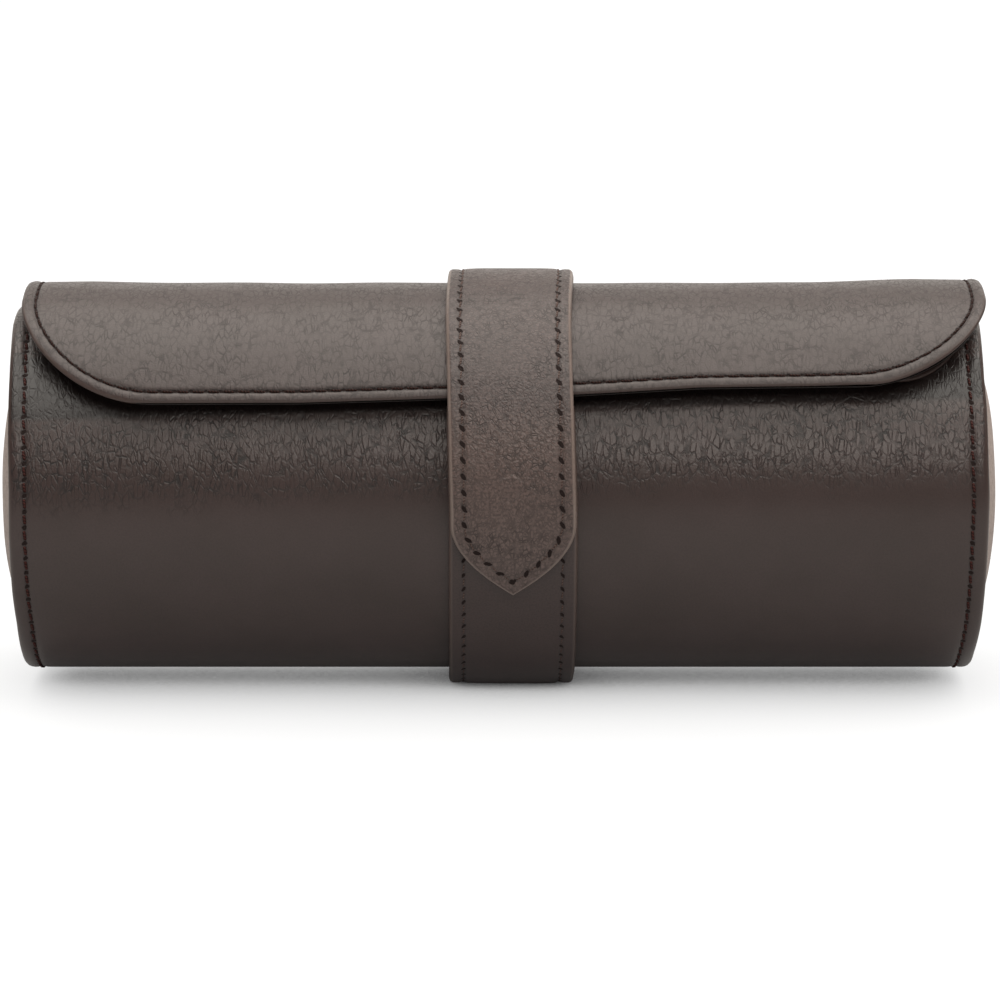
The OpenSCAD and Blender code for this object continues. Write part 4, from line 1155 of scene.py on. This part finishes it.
points, merge = cushionStart(cushionForm["start"])
cushion = makeMesh("cuffCushion", points, gridFaces(*merge.shape), {"skin": points[..., :2]}, merge.ravel())
half = cushionForm["length"] / 2 - cushionForm["start"]
along = np.abs(np.array([v.co.x for v in cushion.data.vertices])) * 1000
swell(cushion, np.abs(along - half) < 0.01, cushionForm["cap"])
finer = cushion.modifiers.new("finer", "SUBSURF")
finer.levels = finer.render_levels = 1
girth = lengthAlong(onCushionSeam(1, np.linspace(0, 200, 2001), 0.0, 0.0)[:, 1:])[-1]
line = np.stack([np.linspace(0, girth, 600), np.zeros(600)], -1)
sewn = [stitches("cushionStitches", line, lambda u, v, h, side=side: onCushionSeam(side, u, v, h + 0.15),
                 form=dict(stitchForm, pitch=3.0, radius=0.3)) for side in (-1, 1)]
for word, place in (("left", -cushionForm["apart"]), ("middle", 0.0), ("right", cushionForm["apart"])):
    body = "cuff_" + word
    for first, name, finish in ((cushion, "cushion", cushionSuede), (sewn[0], "cushionSeamLeft", paleThread),
                                (sewn[1], "cushionSeamRight", paleThread)):
        piece = first.copy()
        piece.data = first.data.copy()
        bpy.context.collection.objects.link(piece)
        piece.data.transform(Matrix.Translation((place * 0.001, 0, 0)))
        piece.name = name + word.capitalize()
        piece.data.materials.append(finish)
        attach(piece, body)
        if first is cushion:
            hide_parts(body + "_core", body + "_sleeve", body + "_panels")
for first in [cushion] + sewn:
    bpy.data.objects.remove(first)
print("cushions ready")

# Finishes of the pieces that are kept from the solid model
keptNodes = {"barrel_board": board, "hinge_filler": board, "end_board_left": board, "end_board_right": board,
             "flap_board": board, "stud": nickel, "stud_post": nickel, "socket": nickel, "socket_cap": nickel,
             "socket_spring": nickel}
for name, finish in keptNodes.items():
    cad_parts[name].data.materials.clear()
    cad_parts[name].data.materials.append(finish)

# Floor, light and camera. Powers in watts; share is the floor's painted glow for other rays and for the camera.
stageForm = {"floor": 6.0, "paper": (0.15, 0.15, 0.155, 1), "bounce": (0.36, 0.36, 0.36, 1), "share": (0.14, 0.93),
             "reach": 0.4, "contact": 0.06, "curve": 0.24, "key": 60.0, "back": 24.0, "front": 4.8,
             "lamp": (1.0, 0.975, 0.905), "world": 0.05}
floorMesh = bpy.data.meshes.new("floor")
wide = stageForm["floor"]
floorMesh.from_pydata([(-wide, -wide, 0), (wide, -wide, 0), (wide, wide, 0), (-wide, wide, 0)], [], [(0, 1, 2, 3)])
floor = bpy.data.objects.new("floor", floorMesh)
bpy.context.collection.objects.link(floor)

# White paper sweep: it glows by itself as painted light, which also lights the object from below. The glow is
# less where the object stands close over it (ambient occlusion), a painted shadow; its far part is white, and its lit
# part keeps the real shadow too
paper, tree = newMaterial("whitePaperFloor")
path = node(tree, "LightPath")
seen = path.outputs["Is Camera Ray"]
tint = node(tree, "Mix", {0: seen, 6: stageForm["bounce"], 7: stageForm["paper"]}, data_type="RGBA")
openness = node(tree, "AmbientOcclusion", {"Distance": stageForm["reach"]}, samples=16)
clear = node(tree, "MapRange", {0: openness.outputs["AO"], 1: stageForm["contact"], 2: 1.0, 3: 0.0, 4: 1.0})
clear = node(tree, "Math", {0: clear, 1: stageForm["curve"]}, operation="POWER")
share = node(tree, "MapRange", {0: seen, 1: 0.0, 2: 1.0, 3: stageForm["share"][0], 4: stageForm["share"][1]})
lift = node(tree, "Math", {0: clear, 1: share}, operation="MULTIPLY")
glow = node(tree, "Emission", {"Color": (1, 1, 1, 1), "Strength": lift})
closeMaterial(tree, node(tree, "AddShader", {0: node(tree, "BsdfDiffuse", {"Color": tint.outputs[2]}), 1: glow}))
floorMesh.materials.append(paper)

world = bpy.data.worlds.new("studio")
bpy.context.scene.world = world
world.use_nodes = True
tree = world.node_tree
tree.nodes.clear()
path = node(tree, "LightPath")
level = node(tree, "MapRange", {0: path.outputs["Is Camera Ray"], 1: 0.0, 2: 1.0, 3: stageForm["world"], 4: 1.0})
node(tree, "OutputWorld", {"Surface": node(tree, "Background", {"Color": (1, 1, 1, 1), "Strength": level})})


# Soft rectangular lamp at a place in metres, facing a point
def softbox(name, place, target, size, power):
    lamp = bpy.data.lights.new(name, "AREA")
    lamp.shape, lamp.energy = "RECTANGLE", power
    lamp.size, lamp.size_y = size
    lamp.color = stageForm["lamp"]
    holder = bpy.data.objects.new(name, lamp)
    bpy.context.collection.objects.link(holder)
    holder.location = place
    holder.rotation_euler = (Vector(target) - Vector(place)).to_track_quat("-Z", "Y").to_euler()


softbox("overhead", (0.2, 0.1, 1.6), (0.2, 0.1, 0), (3.2, 2.4), stageForm["key"])
softbox("backdrop", (0, 2.6, 0.9), (0, 0, 0.5), (4.4, 1.7), stageForm["back"])
softbox("front", (0.25, -1.3, 0.95), (0, 0, 0.04), (0.9, 0.5), stageForm["front"])

# The photograph's view: 10 degrees down on the middle of the case, distance and aim in metres
cameraForm = {"distance": 1.05, "tilt": 10.0, "lens": 169.1, "aim": (0.00022, 0.0, 0.0400)}
camera = bpy.data.objects.new("camera", bpy.data.cameras.new("camera"))
bpy.context.collection.objects.link(camera)
camera.data.lens, camera.data.sensor_width = cameraForm["lens"], 36.0
tilt = math.radians(cameraForm["tilt"])
aim = Vector(cameraForm["aim"])
camera.location = aim + Vector((0, -math.cos(tilt), math.sin(tilt))) * cameraForm["distance"]
camera.rotation_euler = (math.pi / 2 - tilt, 0, 0)
bpy.context.scene.camera = camera
bpy.context.scene.view_settings.view_transform = "Standard"

print("scene ready")
